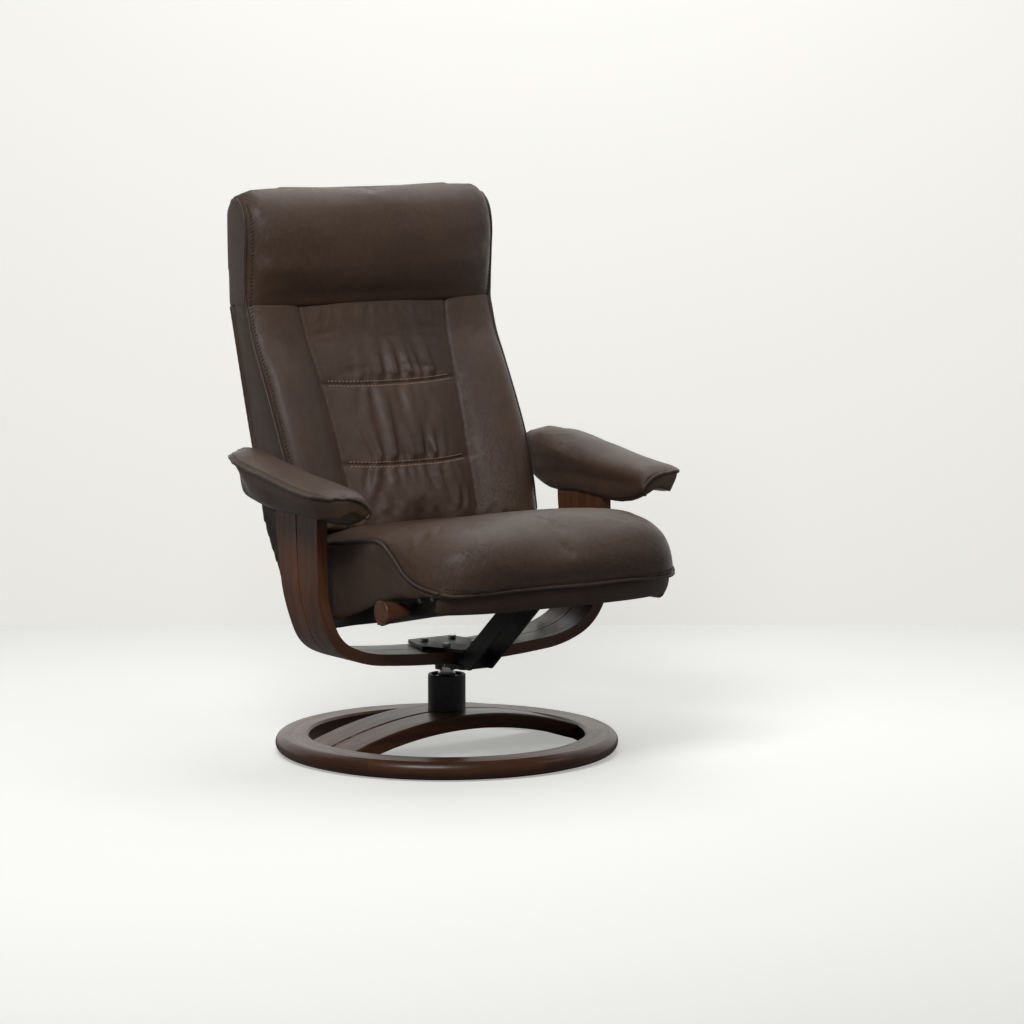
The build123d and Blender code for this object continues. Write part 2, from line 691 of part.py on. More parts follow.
HINGE_Y = 215
EYE_Y = 221

for name, side in SIDES:
    with BuildPart() as head_hinge:
        with BuildSketch(side_plane(side * HINGE_Y)):
            with Locations((HEAD_X, 791)):
                RectangleRounded(20, 38, 9)
        extrude(amount=2, both=True)
        with BuildSketch(side_plane(side * HINGE_Y)):
            with Locations((HEAD_X, HEAD_Z)):
                Circle(5)
        extrude(amount=-side * 10)
    save(head_hinge.part, f"headrest_hinge_{name}")

with BuildPart() as headrest_frame:
    with BuildLine(Plane.YZ.offset(HEAD_X)) as rod:
        FilletPolyline((-EYE_Y, HEAD_Z + 14), (-EYE_Y, 965), (EYE_Y, 965), (EYE_Y, HEAD_Z + 14), radius=40)
    with BuildSketch(Plane(origin=rod.line @ 0, z_dir=rod.line % 0)):
        Circle(6)
    sweep(path=rod.line)
    for side in (1, -1):
        with BuildSketch(side_plane(side * EYE_Y)):
            with Locations((HEAD_X, HEAD_Z + 5)):
                SlotOverall(34, 20, rotation=90)
            with Locations((HEAD_X, HEAD_Z)):
                Circle(5 + RUNNING_FIT, mode=Mode.SUBTRACT)
        extrude(amount=2, both=True)
save(headrest_frame.part, "headrest_frame")

with BuildPart() as headrest_cushion:
    with BuildSketch(Plane.XZ):
        with BuildLine():
            roll = Spline(
                (-224, 808), (-220, 850), (-221, 905), (-234, 960), (-262, 1002), (-292, 1013),
                (-315, 998), (-321, 955), (-316, 880), (-309, 806),
            )
            Line(roll @ 1, roll @ 0)
        make_face()
    extrude(amount=CUSHION_HALF - 4, both=True)
    with BuildSketch(Plane.XY.offset(795)):
        with Locations((HEAD_X, 0)):
            Rectangle(26, 2 * (EYE_Y + 12))
    extrude(amount=182, mode=Mode.SUBTRACT)
save(headrest_cushion.part, "headrest_cushion")
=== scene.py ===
from math import cos, pi, radians, sin

import bpy
import numpy as np
from mathutils import Matrix, Vector
from mathutils.bvhtree import BVHTree


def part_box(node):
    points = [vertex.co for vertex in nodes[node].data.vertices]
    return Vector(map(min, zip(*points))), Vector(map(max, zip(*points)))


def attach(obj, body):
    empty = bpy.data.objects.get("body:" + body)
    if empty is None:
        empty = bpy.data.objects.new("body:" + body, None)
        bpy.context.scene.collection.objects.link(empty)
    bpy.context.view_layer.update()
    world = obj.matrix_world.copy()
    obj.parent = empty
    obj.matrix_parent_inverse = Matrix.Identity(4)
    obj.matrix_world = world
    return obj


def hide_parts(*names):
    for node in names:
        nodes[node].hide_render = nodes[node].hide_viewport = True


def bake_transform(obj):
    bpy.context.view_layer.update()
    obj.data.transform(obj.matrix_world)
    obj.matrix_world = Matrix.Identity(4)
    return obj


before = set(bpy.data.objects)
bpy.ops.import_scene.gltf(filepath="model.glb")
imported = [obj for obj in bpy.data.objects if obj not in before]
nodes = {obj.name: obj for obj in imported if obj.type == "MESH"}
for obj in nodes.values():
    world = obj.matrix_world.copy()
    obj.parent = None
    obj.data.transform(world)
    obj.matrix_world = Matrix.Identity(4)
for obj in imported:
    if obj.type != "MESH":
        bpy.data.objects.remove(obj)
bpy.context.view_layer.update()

# Metres. X points forward, +Y to the sitter's left, Z up, from the swivel axis on the floor.
# ---- places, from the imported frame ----

BACK_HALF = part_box("back_cushion")[1].y - 0.006
SEAT_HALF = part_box("seat_cushion")[1].y
SEAT_NARROW = 0.238
ARM_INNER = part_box("arm_pad_left")[0].y
ARM_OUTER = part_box("arm_pad_left")[1].y - 0.002
BOW_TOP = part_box("arm_board_left")[0].z

VOXEL = 0.0060
FINE_VOXEL = 0.0045
PIPING = 0.0033
PIPING_LIFT = 0.0012
SEAM_DEPTH = 0.0030
SEAM_WIDTH = 0.0021
# stitches: how far apart, how long, how thick
SADDLE = (0.0070, 0.0072, 0.0009)
CONTRAST = (0.0070, 0.0044, 0.0009)
FRONT_STITCH = (0.0062, 0.0055, 0.0007)
PAD_STITCH = (0.0065, 0.0048, 0.0006)
SIDES = (("left", 1), ("right", -1))

# ---- lines and meshes ----


def spline(points, count):
    """A smooth line through a few given points, in count even steps."""
    line = np.array(points, float)
    at = np.concatenate(([0], np.cumsum(np.linalg.norm(np.diff(line, axis=0), axis=1))))
    slope = np.gradient(line, at, axis=0)
    t = np.linspace(0, at[-1], count)
    i = np.clip(np.searchsorted(at, t, side="right") - 1, 0, len(at) - 2)
    gap = (at[i + 1] - at[i])[:, None]
    u = (t - at[i])[:, None] / gap
    start = (2 * u**3 - 3 * u**2 + 1) * line[i] + (u**3 - 2 * u**2 + u) * gap * slope[i]
    end = (3 * u**2 - 2 * u**3) * line[i + 1] + (u**3 - u**2) * gap * slope[i + 1]
    return start + end


def height_at(points, places):
    """Read a smooth (place, height) outline at the given places."""
    line = spline(points, 200)
    order = np.argsort(line[:, 0])
    return np.interp(places, line[order, 0], line[order, 1])


def make_mesh(name, points, faces):
    """A new object from points and faces, shaded smooth."""
    mesh = bpy.data.meshes.new(name)
    mesh.from_pydata([tuple(p) for p in points], [], faces)
    mesh.shade_smooth()
    made = bpy.data.objects.new(name, mesh)
    bpy.context.scene.collection.objects.link(made)
    return made


def loft(name, rings):
    """A closed skin through rings of equally many points, with flat ends."""
    around = len(rings[0])
    faces = [tuple(range(around))[::-1], tuple(range(around * (len(rings) - 1), around * len(rings)))]
    for row in range(len(rings) - 1):
        for i in range(around):
            j = (i + 1) % around
            low, high = row * around, (row + 1) * around
            faces.append((low + i, low + j, high + j, high + i))
    return make_mesh(name, np.concatenate(rings), faces)


def read_points(piece):
    """The piece's points and normals as arrays."""
    count = len(piece.data.vertices)
    points, normals = np.zeros(count * 3, np.float32), np.zeros(count * 3, np.float32)
    piece.data.vertices.foreach_get("co", points)
    piece.data.vertex_normals.foreach_get("vector", normals)
    return points.reshape(-1, 3).astype(float), normals.reshape(-1, 3).astype(float)


def write_points(piece, points):
    """Put the piece's points where the array says."""
    piece.data.vertices.foreach_set("co", np.asarray(points, np.float32).ravel())
    piece.data.update()


def apply_all(piece):
    """Turn the piece's modifiers into its mesh."""
    evaluated = piece.evaluated_get(bpy.context.evaluated_depsgraph_get())
    shaped = bpy.data.meshes.new_from_object(evaluated)
    piece.modifiers.clear()
    old = piece.data
    piece.data = shaped
    shaped.name = piece.name
    shaped.shade_smooth()
    bpy.data.meshes.remove(old)


def remesh(piece, voxel, rounds):
    """An even skin over a coarse form, with its corners worn round."""
    even = piece.modifiers.new("even", "REMESH")
    even.mode = "VOXEL"
    even.voxel_size = voxel
    soft = piece.modifiers.new("soft", "SMOOTH")
    soft.factor = 0.5
    soft.iterations = rounds
    apply_all(piece)


def subdivide(piece):
    """One smooth subdivision, so that seams have points to bend."""
    finer = piece.modifiers.new("finer", "SUBSURF")
    finer.levels = finer.render_levels = 1
    apply_all(piece)


def distance_to(points, line):
    """How far each point is from a line of closely spaced points; 1 m where it is nowhere near."""
    line = np.asarray(line, float)
    away = np.full(len(points), 1.0)
    low, high = line.min(0) - 0.04, line.max(0) + 0.04
    near = np.where(((points > low) & (points < high)).all(1))[0]
    for part in np.array_split(near, max(1, len(near) // 4000)):
        gap = points[part][:, None, :] - line[None, :, :]
        away[part] = np.sqrt((gap**2).sum(-1).min(1))
    return away


def stuff(piece, seams, pressure, cap, reach=0.010):
    """Swell the stuffed piece as cloth under pressure, held along its seams, by cap at most."""
    rest, _ = read_points(piece)
    hold = np.zeros(len(rest))
    for line in seams:
        hold = np.maximum(hold, np.clip(1.6 - distance_to(rest, line) / reach, 0, 1))
    held = piece.vertex_groups.new(name="held")
    for level in (0.25, 0.5, 0.75, 1.0):
        chosen = np.where((hold > level - 0.25) & (hold <= level))[0]
        held.add(chosen.tolist(), level, "REPLACE")
    cloth = piece.modifiers.new("stuffing", "CLOTH")
    cloth.settings.quality = 4
    cloth.settings.mass = 0.35
    cloth.settings.tension_stiffness = 12
    cloth.settings.compression_stiffness = 12
    cloth.settings.bending_stiffness = 1.5
    cloth.settings.vertex_group_mass = "held"
    cloth.settings.use_pressure = True
    cloth.settings.uniform_pressure_force = pressure
    cloth.settings.effector_weights.gravity = 0
    cloth.collision_settings.use_collision = False
    for step in range(1, 21):
        bpy.context.scene.frame_set(step)
    evaluated = piece.evaluated_get(bpy.context.evaluated_depsgraph_get())
    swollen = np.zeros(len(rest) * 3, np.float32)
    evaluated.data.vertices.foreach_get("co", swollen)
    move = swollen.reshape(-1, 3) - rest
    length = np.linalg.norm(move, axis=1, keepdims=True)
    move *= np.minimum(1, cap / np.maximum(length, 1e-9))
    piece.modifiers.clear()
    piece.vertex_groups.clear()
    bpy.context.scene.frame_set(1)
    write_points(piece, rest + move)


def pinch(piece, line, depth, width):
    """Draw the leather down along a sewn line: a narrow crease in a wider dip."""
    points, normals = read_points(piece)
    away = distance_to(points, line)
    crease = depth * np.exp(-((away / width) ** 2))
    dip = 0.6 * depth * np.exp(-((away / (4 * width)) ** 2))
    write_points(piece, points - normals * (crease + dip)[:, None])


def lay_on(piece, points, aim):
    """Drop points on the piece along aim; gives the landing places and the outward normals."""
    tree = BVHTree.FromObject(piece, bpy.context.evaluated_depsgraph_get())
    aim = Vector(aim).normalized()
    places, normals = [], []
    for point in points:
        hit, normal, _, _ = tree.ray_cast(Vector(point) - aim * 0.4, aim)
        if hit is not None:
            places.append(hit)
            normals.append(normal)
    return np.array(places), np.array(normals)


def snap_to(piece, points, lift):
    """Pull points to the nearest place on the piece, and stand them lift proud of it."""
    tree = BVHTree.FromObject(piece, bpy.context.evaluated_depsgraph_get())
    found = [tree.find_nearest(Vector(p)) for p in points]
    places = np.array([hit + normal * lift for hit, normal, _, _ in found])
    return places, np.array([normal for _, normal, _, _ in found])


def ease(line, rounds=3):
    """Take small jumps out of a line."""
    line = np.array(line, float)
    for _ in range(rounds):
        line[1:-1] = 0.25 * line[:-2] + 0.5 * line[1:-1] + 0.25 * line[2:]
    return line


def tube(name, line, radius):
    """A round cord along a line, drawn in a little at its ends."""
    around = 10
    line = np.array(line, float)
    run = np.gradient(line, axis=0)
    run /= np.linalg.norm(run, axis=1, keepdims=True)
    across = np.cross(run[0], (0.3, 0.5, 0.81))
    rings = []
    for i, place in enumerate(line):
        across = across - run[i] * across.dot(run[i])
        across /= np.linalg.norm(across)
        other = np.cross(run[i], across)
        end = min(i, len(line) - 1 - i)
        size = radius * (0.4, 0.85, 1)[min(end, 2)]
        turns = [2 * pi * k / around for k in range(around)]
        rings.append(np.array([place + size * (cos(a) * across + sin(a) * other) for a in turns]))
    return loft(name, rings)


def stitch_row(name, line, normals, pitch, length, radius, slant=0.0):
    """Thread stitches along a line: each dives into the leather at both ends."""
    line, normals = np.array(line, float), np.array(normals, float)
    at = np.concatenate(([0], np.cumsum(np.linalg.norm(np.diff(line, axis=0), axis=1))))
    points, faces = [], []
    for middle in np.arange(pitch, at[-1] - pitch / 2, pitch):
        place = np.array([np.interp(middle, at, line[:, k]) for k in range(3)])
        ahead = np.array([np.interp(middle + 0.001, at, line[:, k]) for k in range(3)]) - place
        up = np.array([np.interp(middle, at, normals[:, k]) for k in range(3)])
        up /= np.linalg.norm(up)
        run = ahead - up * ahead.dot(up)
        run /= np.linalg.norm(run) + 1e-12
        side = np.cross(up, run)
        along = run * cos(slant) + side * sin(slant)
        over = np.cross(up, along)
        first = len(points)
        for k in range(5):
            share = k / 2 - 1
            centre = place + along * (share * length / 2) + up * radius * (0.75 - 1.6 * share**2)
            size = radius * (0.7 if k in (0, 4) else 1)
            for corner in range(6):
                turn = 2 * pi * corner / 6
                points.append(centre + size * (cos(turn) * over + sin(turn) * up))
        for k in range(4):
            for corner in range(6):
                nxt = (corner + 1) % 6
                low = first + 6 * k
                faces.append((low + corner, low + nxt, low + 6 + nxt, low + 6 + corner))
        faces.append(tuple(first + c for c in range(6))[::-1])
        faces.append(tuple(first + 24 + c for c in range(6)))
    return make_mesh(name, points, faces)


def gather(piece, inside, depths):
    """Push the leather in and out by depths where inside is true."""
    points, normals = read_points(piece)
    write_points(piece, points + normals * (inside * depths)[:, None])


# ---- finishes: shared effects ----


def add(tree, kind, sockets=None, **settings):
    """Place a node, set its properties, then set or link its sockets."""
    made = tree.nodes.new(kind)
    for key, value in settings.items():
        setattr(made, key, value)
    for key, value in (sockets or {}).items():
        if isinstance(value, bpy.types.NodeSocket):
            tree.links.new(value, made.inputs[key])
        else:
            made.inputs[key].default_value = value
    return made


def math(tree, operation, first, second=0.0, third=0.0, clamp=False):
    """The result of a Math node."""
    sockets = {0: first, 1: second, 2: third}
    return add(tree, "ShaderNodeMath", sockets, operation=operation, use_clamp=clamp).outputs[0]


def spread(tree, value, low, high, new_low=0.0, new_high=1.0):
    """Stretch a value from one range to another, clamped."""
    sockets = {"Value": value, "From Min": low, "From Max": high, "To Min": new_low, "To Max": new_high}
    return add(tree, "ShaderNodeMapRange", sockets).outputs["Result"]


def noise(tree, vector, scale, detail=2.0, roughness=0.5, distortion=0.0):
    """A noise value."""
    sockets = {"Vector": vector, "Scale": scale, "Detail": detail}
    sockets.update({"Roughness": roughness, "Distortion": distortion})
    return add(tree, "ShaderNodeTexNoise", sockets).outputs["Fac"]


def scaled(tree, vector, size):
    """A vector stretched along its axes."""
    made = add(tree, "ShaderNodeVectorMath", {0: vector, 1: size}, operation="MULTIPLY")
    return made.outputs["Vector"]


def new_group(name, inputs, outputs):
    """An empty shared effect with named sockets; gives the tree, its inputs and its output node."""
    tree = bpy.data.node_groups.new(name, "ShaderNodeTree")
    for title, kind, value in inputs:
        socket = tree.interface.new_socket(title, in_out="INPUT", socket_type=f"NodeSocket{kind}")
        if kind != "Vector":
            socket.default_value = value
    for title, kind in outputs:
        tree.interface.new_socket(title, in_out="OUTPUT", socket_type=f"NodeSocket{kind}")
    return tree, tree.nodes.new("NodeGroupInput").outputs, tree.nodes.new("NodeGroupOutput")


def put_out(tree, output, values):
    """Wire results to the group's outputs."""
    for title, value in values.items():
        tree.links.new(value, output.inputs[title])


def make_leather_grain():
    """Pebbles a millimetre or so across, pores between them, and sparse soft creases."""
    inputs = (("Vector", "Vector", None), ("Pebbles", "Float", 620.0), ("Creases", "Float", 55.0))
    outputs = (("Height", "Float"), ("Crease", "Float"), ("Tone", "Float"))
    tree, given, output = new_group("leather_grain", inputs, outputs)
    drift = add(tree, "ShaderNodeTexNoise", {"Vector": given["Vector"], "Scale": 90.0, "Detail": 2.0})
    bent = add(tree, "ShaderNodeMix", {0: 0.006, 4: given["Vector"], 5: drift.outputs["Color"]},
               data_type="VECTOR").outputs[1]
    cells = add(tree, "ShaderNodeTexVoronoi", {"Vector": bent, "Scale": given["Pebbles"]},
                feature="DISTANCE_TO_EDGE").outputs["Distance"]
    pebble = spread(tree, cells, 0.0, 0.28)
    fine = noise(tree, given["Vector"], 2600.0, 3.0, 0.6)
    wide = add(tree, "ShaderNodeTexNoise", {"Vector": given["Vector"], "Scale": 24.0, "Detail": 3.0})
    swung = add(tree, "ShaderNodeMix", {0: 0.03, 4: given["Vector"], 5: wide.outputs["Color"]},
                data_type="VECTOR").outputs[1]
    lines = add(tree, "ShaderNodeTexVoronoi", {"Vector": swung, "Scale": given["Creases"]},
                feature="DISTANCE_TO_EDGE").outputs["Distance"]
    crease = spread(tree, lines, 0.0, 0.05, 1.0, 0.0)
    patches = spread(tree, noise(tree, given["Vector"], 9.0, 3.0), 0.48, 0.66)
    crease = math(tree, "MULTIPLY", crease, patches)
    height = math(tree, "MULTIPLY_ADD", fine, 0.25, pebble)
    height = math(tree, "MULTIPLY_ADD", crease, -1.3, height)
    clouds = noise(tree, given["Vector"], 7.0, 4.0, 0.55)
    mottle = noise(tree, given["Vector"], 60.0, 3.0, 0.6)
    tone = math(tree, "MULTIPLY_ADD", mottle, 0.35, clouds)
    tone = spread(tree, tone, 0.42, 0.92)
    put_out(tree, output, {"Height": height, "Crease": crease, "Tone": tone})
    return tree


def make_wood_grain():
    """Long figure and short dark pores, both running along the vector's third axis."""
    inputs = (("Vector", "Vector", None), ("Figure Scale", "Float", 70.0), ("Pore Scale", "Float", 900.0))
    outputs = (("Figure", "Float"), ("Pores", "Float"), ("Height", "Float"))
    tree, given, output = new_group("wood_grain", inputs, outputs)
    long = scaled(tree, given["Vector"], (1.0, 1.0, 0.07))
    bands = noise(tree, long, given["Figure Scale"], 5.0, 0.6, 0.6)
    flame = noise(tree, scaled(tree, given["Vector"], (1.0, 1.0, 0.16)), 16.0, 2.0)
    figure = spread(tree, math(tree, "MULTIPLY_ADD", flame, 0.6, bands), 0.55, 1.05)
    short = scaled(tree, given["Vector"], (1.0, 1.0, 0.03))
    specks = spread(tree, noise(tree, short, given["Pore Scale"], 2.0, 0.5), 0.60, 0.72)
    height = math(tree, "MULTIPLY_ADD", specks, -1.0, math(tree, "MULTIPLY", figure, 0.25))
    put_out(tree, output, {"Figure": figure, "Pores": specks, "Height": height})
    return tree


def make_edge_wear():
    """A mask of rubbed outer edges, broken up by noise."""
    inputs = (("Vector", "Vector", None), ("Amount", "Float", 0.5))
    tree, given, output = new_group("edge_wear", inputs, (("Mask", "Float"),))
    sharp = add(tree, "ShaderNodeNewGeometry").outputs["Pointiness"]
    rubbed = spread(tree, sharp, 0.52, 0.60)
    broken = spread(tree, noise(tree, given["Vector"], 140.0, 4.0, 0.65), 0.35, 0.65)
    mask = math(tree, "MULTIPLY", rubbed, broken)
    put_out(tree, output, {"Mask": math(tree, "MULTIPLY", mask, given["Amount"], clamp=True)})
    return tree


def make_dust():
    """A thin film on faces that look up."""
    inputs = (("Vector", "Vector", None), ("Amount", "Float", 0.2))
    tree, given, output = new_group("dust", inputs, (("Mask", "Float"),))
    normal = add(tree, "ShaderNodeNewGeometry").outputs["Normal"]
    up = add(tree, "ShaderNodeSeparateXYZ", {0: normal}).outputs["Z"]
    flat = spread(tree, up, 0.3, 1.0)
    patches = spread(tree, noise(tree, given["Vector"], 38.0, 5.0, 0.7), 0.35, 0.75)
    mask = math(tree, "MULTIPLY", flat, patches)
    put_out(tree, output, {"Mask": math(tree, "MULTIPLY", mask, given["Amount"], clamp=True)})
    return tree


def make_fine_texture():
    """Orange peel of a coat or the tooth of a cast or moulded face, and slow changes in its gloss."""
    inputs = (("Vector", "Vector", None), ("Scale", "Float", 900.0))
    outputs = (("Height", "Float"), ("Gloss", "Float"))
    tree, given, output = new_group("fine_texture", inputs, outputs)
    peel = noise(tree, given["Vector"], given["Scale"], 3.0, 0.55)
    smear = noise(tree, given["Vector"], 26.0, 4.0, 0.6)
    put_out(tree, output, {"Height": peel, "Gloss": smear})
    return tree


GROUPS = {
    "leather": make_leather_grain(),
    "wood": make_wood_grain(),
    "wear": make_edge_wear(),
    "dust": make_dust(),
    "fine": make_fine_texture(),
}


def place(tree, name, **values):
    """Put a shared effect in a material; values name its inputs with _ for a space."""
    made = tree.nodes.new("ShaderNodeGroup")
    made.node_tree = GROUPS[name]
    for key, value in values.items():
        socket = made.inputs[key.replace("_", " ")]
        if isinstance(value, bpy.types.NodeSocket):
            tree.links.new(value, socket)
        else:
            socket.default_value = value
    return made.outputs


def mixed(tree, share, first, second):
    """A colour between two others."""
    made = add(tree, "ShaderNodeMix", {"Factor": share}, data_type="RGBA")
    for socket, value in ((made.inputs[6], first), (made.inputs[7], second)):
        if isinstance(value, bpy.types.NodeSocket):
            tree.links.new(value, socket)
        else:
            socket.default_value = (*value, 1)
    return made.outputs[2]


def new_finish(name, **constants):
    """A material with one Principled shader; gives the material, its tree, shader and place."""
    made = bpy.data.materials.new(name)
    made.use_nodes = True
    tree = made.node_tree
    shader = tree.nodes["Principled BSDF"]
    for key, value in constants.items():
        shader.inputs[key.replace("_", " ")].default_value = value
    where = add(tree, "ShaderNodeTexCoord").outputs["Object"]
    return made, tree, shader, where


def link_finish(tree, shader, colour, rough, height=None, depth=0.0002):
    """Wire colour, roughness and relief to the shader."""
    tree.links.new(colour, shader.inputs["Base Color"])
    tree.links.new(rough, shader.inputs["Roughness"])
    if height is not None:
        sockets = {"Height": height, "Distance": depth, "Strength": 1.0}
        bump = add(tree, "ShaderNodeBump", sockets)
        tree.links.new(bump.outputs["Normal"], shader.inputs["Normal"])


def leather(name, dark, light, rubbed, rough=(0.33, 0.43), pebbles=620.0, creases=55.0, depth=0.00022):
    """Pigmented hide: cloudy colour, darker in the creases and rubbed lighter on proud edges."""
    gloss_coat = {"Specular_IOR_Level": 0.30, "Coat_Weight": 0.06, "Coat_Roughness": 0.25}
    made, tree, shader, where = new_finish(name, **gloss_coat)
    grain = place(tree, "leather", Vector=where, Pebbles=pebbles, Creases=creases)
    wear = place(tree, "wear", Vector=where, Amount=0.35)
    dust = place(tree, "dust", Vector=where, Amount=0.025)
    colour = mixed(tree, grain["Tone"], dark, light)
    crease = math(tree, "MULTIPLY", grain["Crease"], 0.4)
    colour = mixed(tree, crease, colour, tuple(0.45 * c for c in dark))
    colour = mixed(tree, wear["Mask"], colour, rubbed)
    colour = mixed(tree, dust["Mask"], colour, (0.30, 0.28, 0.25))
    gloss = spread(tree, grain["Tone"], 0.0, 1.0, rough[1], rough[0])
    link_finish(tree, shader, colour, gloss, grain["Height"], depth)
    return made


def walnut(name, run, dark=(0.032, 0.0115, 0.0052), light=(0.115, 0.042, 0.0175)):
    """Dark stained, lacquered wood; run gives the vector whose third axis follows the grain."""
    lacquer = {"Specular_IOR_Level": 0.32, "Coat_Weight": 0.18, "Coat_Roughness": 0.2}
    made, tree, shader, where = new_finish(name, **lacquer)
    along = run(tree, where)
    grain = place(tree, "wood", Vector=along, Figure_Scale=70.0, Pore_Scale=900.0)
    wear = place(tree, "wear", Vector=where, Amount=0.25)
    dust = place(tree, "dust", Vector=where, Amount=0.06)
    colour = mixed(tree, grain["Figure"], dark, light)
    colour = mixed(tree, math(tree, "MULTIPLY", grain["Pores"], 0.7), colour, tuple(0.4 * c for c in dark))
    colour = mixed(tree, wear["Mask"], colour, (0.13, 0.052, 0.022))
    colour = mixed(tree, dust["Mask"], colour, (0.35, 0.32, 0.29))
    gloss = spread(tree, grain["Figure"], 0.0, 1.0, 0.42, 0.30)
    link_finish(tree, shader, colour, gloss, grain["Height"], 0.00012)
    return made


def run_along(axis):
    """Straight grain along one axis."""
    def build(tree, where):
        parts = add(tree, "ShaderNodeSeparateXYZ", {0: where}).outputs
        order = {"x": (1, 2, 0), "y": (0, 2, 1), "z": (0, 1, 2)}[axis]
        sockets = {i: parts[k] for i, k in enumerate(order)}
        return add(tree, "ShaderNodeCombineXYZ", sockets).outputs[0]
    return build


def length_of(tree, first, second):
    """The length of a two-part vector."""
    squares = math(tree, "ADD", math(tree, "POWER", first, 2.0), math(tree, "POWER", second, 2.0))
    return math(tree, "SQRT", squares)


def run_round_bow(tree, where):
    """Grain that follows the U of the bow: along the sides, round the bends and across below."""
    parts = add(tree, "ShaderNodeSeparateXYZ", {0: where}).outputs
    out = math(tree, "ABSOLUTE", parts["Y"])
    along = math(tree, "ADD", out, parts["Z"])
    aside = math(tree, "MAXIMUM", math(tree, "SUBTRACT", out, 0.12), 0.0)
    below = math(tree, "MAXIMUM", math(tree, "SUBTRACT", 0.36, parts["Z"]), 0.0)
    depth = length_of(tree, aside, below)
    return add(tree, "ShaderNodeCombineXYZ", {0: parts["X"], 1: depth, 2: along}).outputs[0]


def run_round_ring(tree, where):
    """Grain that follows the ring, in six glued lengths that each start elsewhere in the board."""
    parts = add(tree, "ShaderNodeSeparateXYZ", {0: where}).outputs
    turn = math(tree, "ARCTAN2", parts["Y"], parts["X"])
    radius = length_of(tree, parts["X"], parts["Y"])
    board = math(tree, "FLOOR", math(tree, "MULTIPLY", turn, 3 / pi))
    along = math(tree, "MULTIPLY_ADD", board, 2.7, math(tree, "MULTIPLY", turn, 0.28))
    across = math(tree, "MULTIPLY_ADD", board, 0.37, radius)
    return add(tree, "ShaderNodeCombineXYZ", {0: across, 1: parts["Z"], 2: along}).outputs[0]


def coated(name, base, pale, rough, metal=0.0, scale=900.0, depth=0.00006, wear_colour=None):
    """A coated, cast or moulded finish: fine relief, uneven gloss, rubbed edges and a little dust."""
    made, tree, shader, where = new_finish(name, Metallic=metal)
    fine = place(tree, "fine", Vector=where, Scale=scale)
    edge = place(tree, "wear", Vector=where, Amount=0.3)
    dust = place(tree, "dust", Vector=where, Amount=0.12)
    colour = mixed(tree, spread(tree, fine["Gloss"], 0.3, 0.7), base, pale)
    colour = mixed(tree, edge["Mask"], colour, wear_colour or pale)
    colour = mixed(tree, dust["Mask"], colour, (0.3, 0.28, 0.26))
    gloss = spread(tree, fine["Gloss"], 0.3, 0.7, rough[0], rough[1])
    link_finish(tree, shader, colour, gloss, fine["Height"], depth)
    return made


def woven(name, base, pale, pitch):
    """Plain-woven cloth or laid thread: over and under strands, with a little fuzz."""
    made, tree, shader, where = new_finish(name, Sheen_Weight=0.25, Specular_IOR_Level=0.2)
    waves = []
    for direction, phase in (("X", 0.0), ("Y", pi / 2)):
        made_wave = add(tree, "ShaderNodeTexWave", {"Vector": where, "Scale": pitch, "Phase Offset": phase},
                        wave_type="BANDS", bands_direction=direction)
        waves.append(made_wave.outputs["Fac"])
    height = math(tree, "MULTIPLY", waves[0], waves[1])
    fuzz = noise(tree, where, 1500.0, 3.0)
    colour = mixed(tree, math(tree, "MULTIPLY", height, fuzz), base, pale)
    gloss = spread(tree, fuzz, 0.0, 1.0, 0.75, 0.95)
    link_finish(tree, shader, colour, gloss, height, 0.0002)
    return made


def thread(name, base, pale):
    """Twisted sewing thread."""
    made, tree, shader, where = new_finish(name, Specular_IOR_Level=0.35)
    twist = add(tree, "ShaderNodeTexWave", {"Vector": where, "Scale": 900.0, "Distortion": 1.0},
                wave_type="BANDS", bands_direction="DIAGONAL").outputs["Fac"]
    colour = mixed(tree, twist, base, pale)
    gloss = spread(tree, twist, 0.0, 1.0, 0.7, 0.45)
    link_finish(tree, shader, colour, gloss, twist, 0.0001)
    return made


def layered_board(name):
    """Birch plywood: pale faces and thin glued plies at the edges."""
    made, tree, shader, where = new_finish(name, Specular_IOR_Level=0.3)
    parts = add(tree, "ShaderNodeSeparateXYZ", {0: where}).outputs
    plies = math(tree, "PINGPONG", math(tree, "MULTIPLY", parts["Z"], 650.0), 1.0)
    grain = place(tree, "wood", Vector=run_along("x")(tree, where), Figure_Scale=50.0, Pore_Scale=700.0)
    colour = mixed(tree, grain["Figure"], (0.42, 0.28, 0.15), (0.55, 0.40, 0.24))
    colour = mixed(tree, spread(tree, plies, 0.75, 1.0), colour, (0.22, 0.13, 0.07))
    gloss = spread(tree, grain["Figure"], 0.0, 1.0, 0.55, 0.7)
    link_finish(tree, shader, colour, gloss, grain["Height"], 0.0002)
    return made


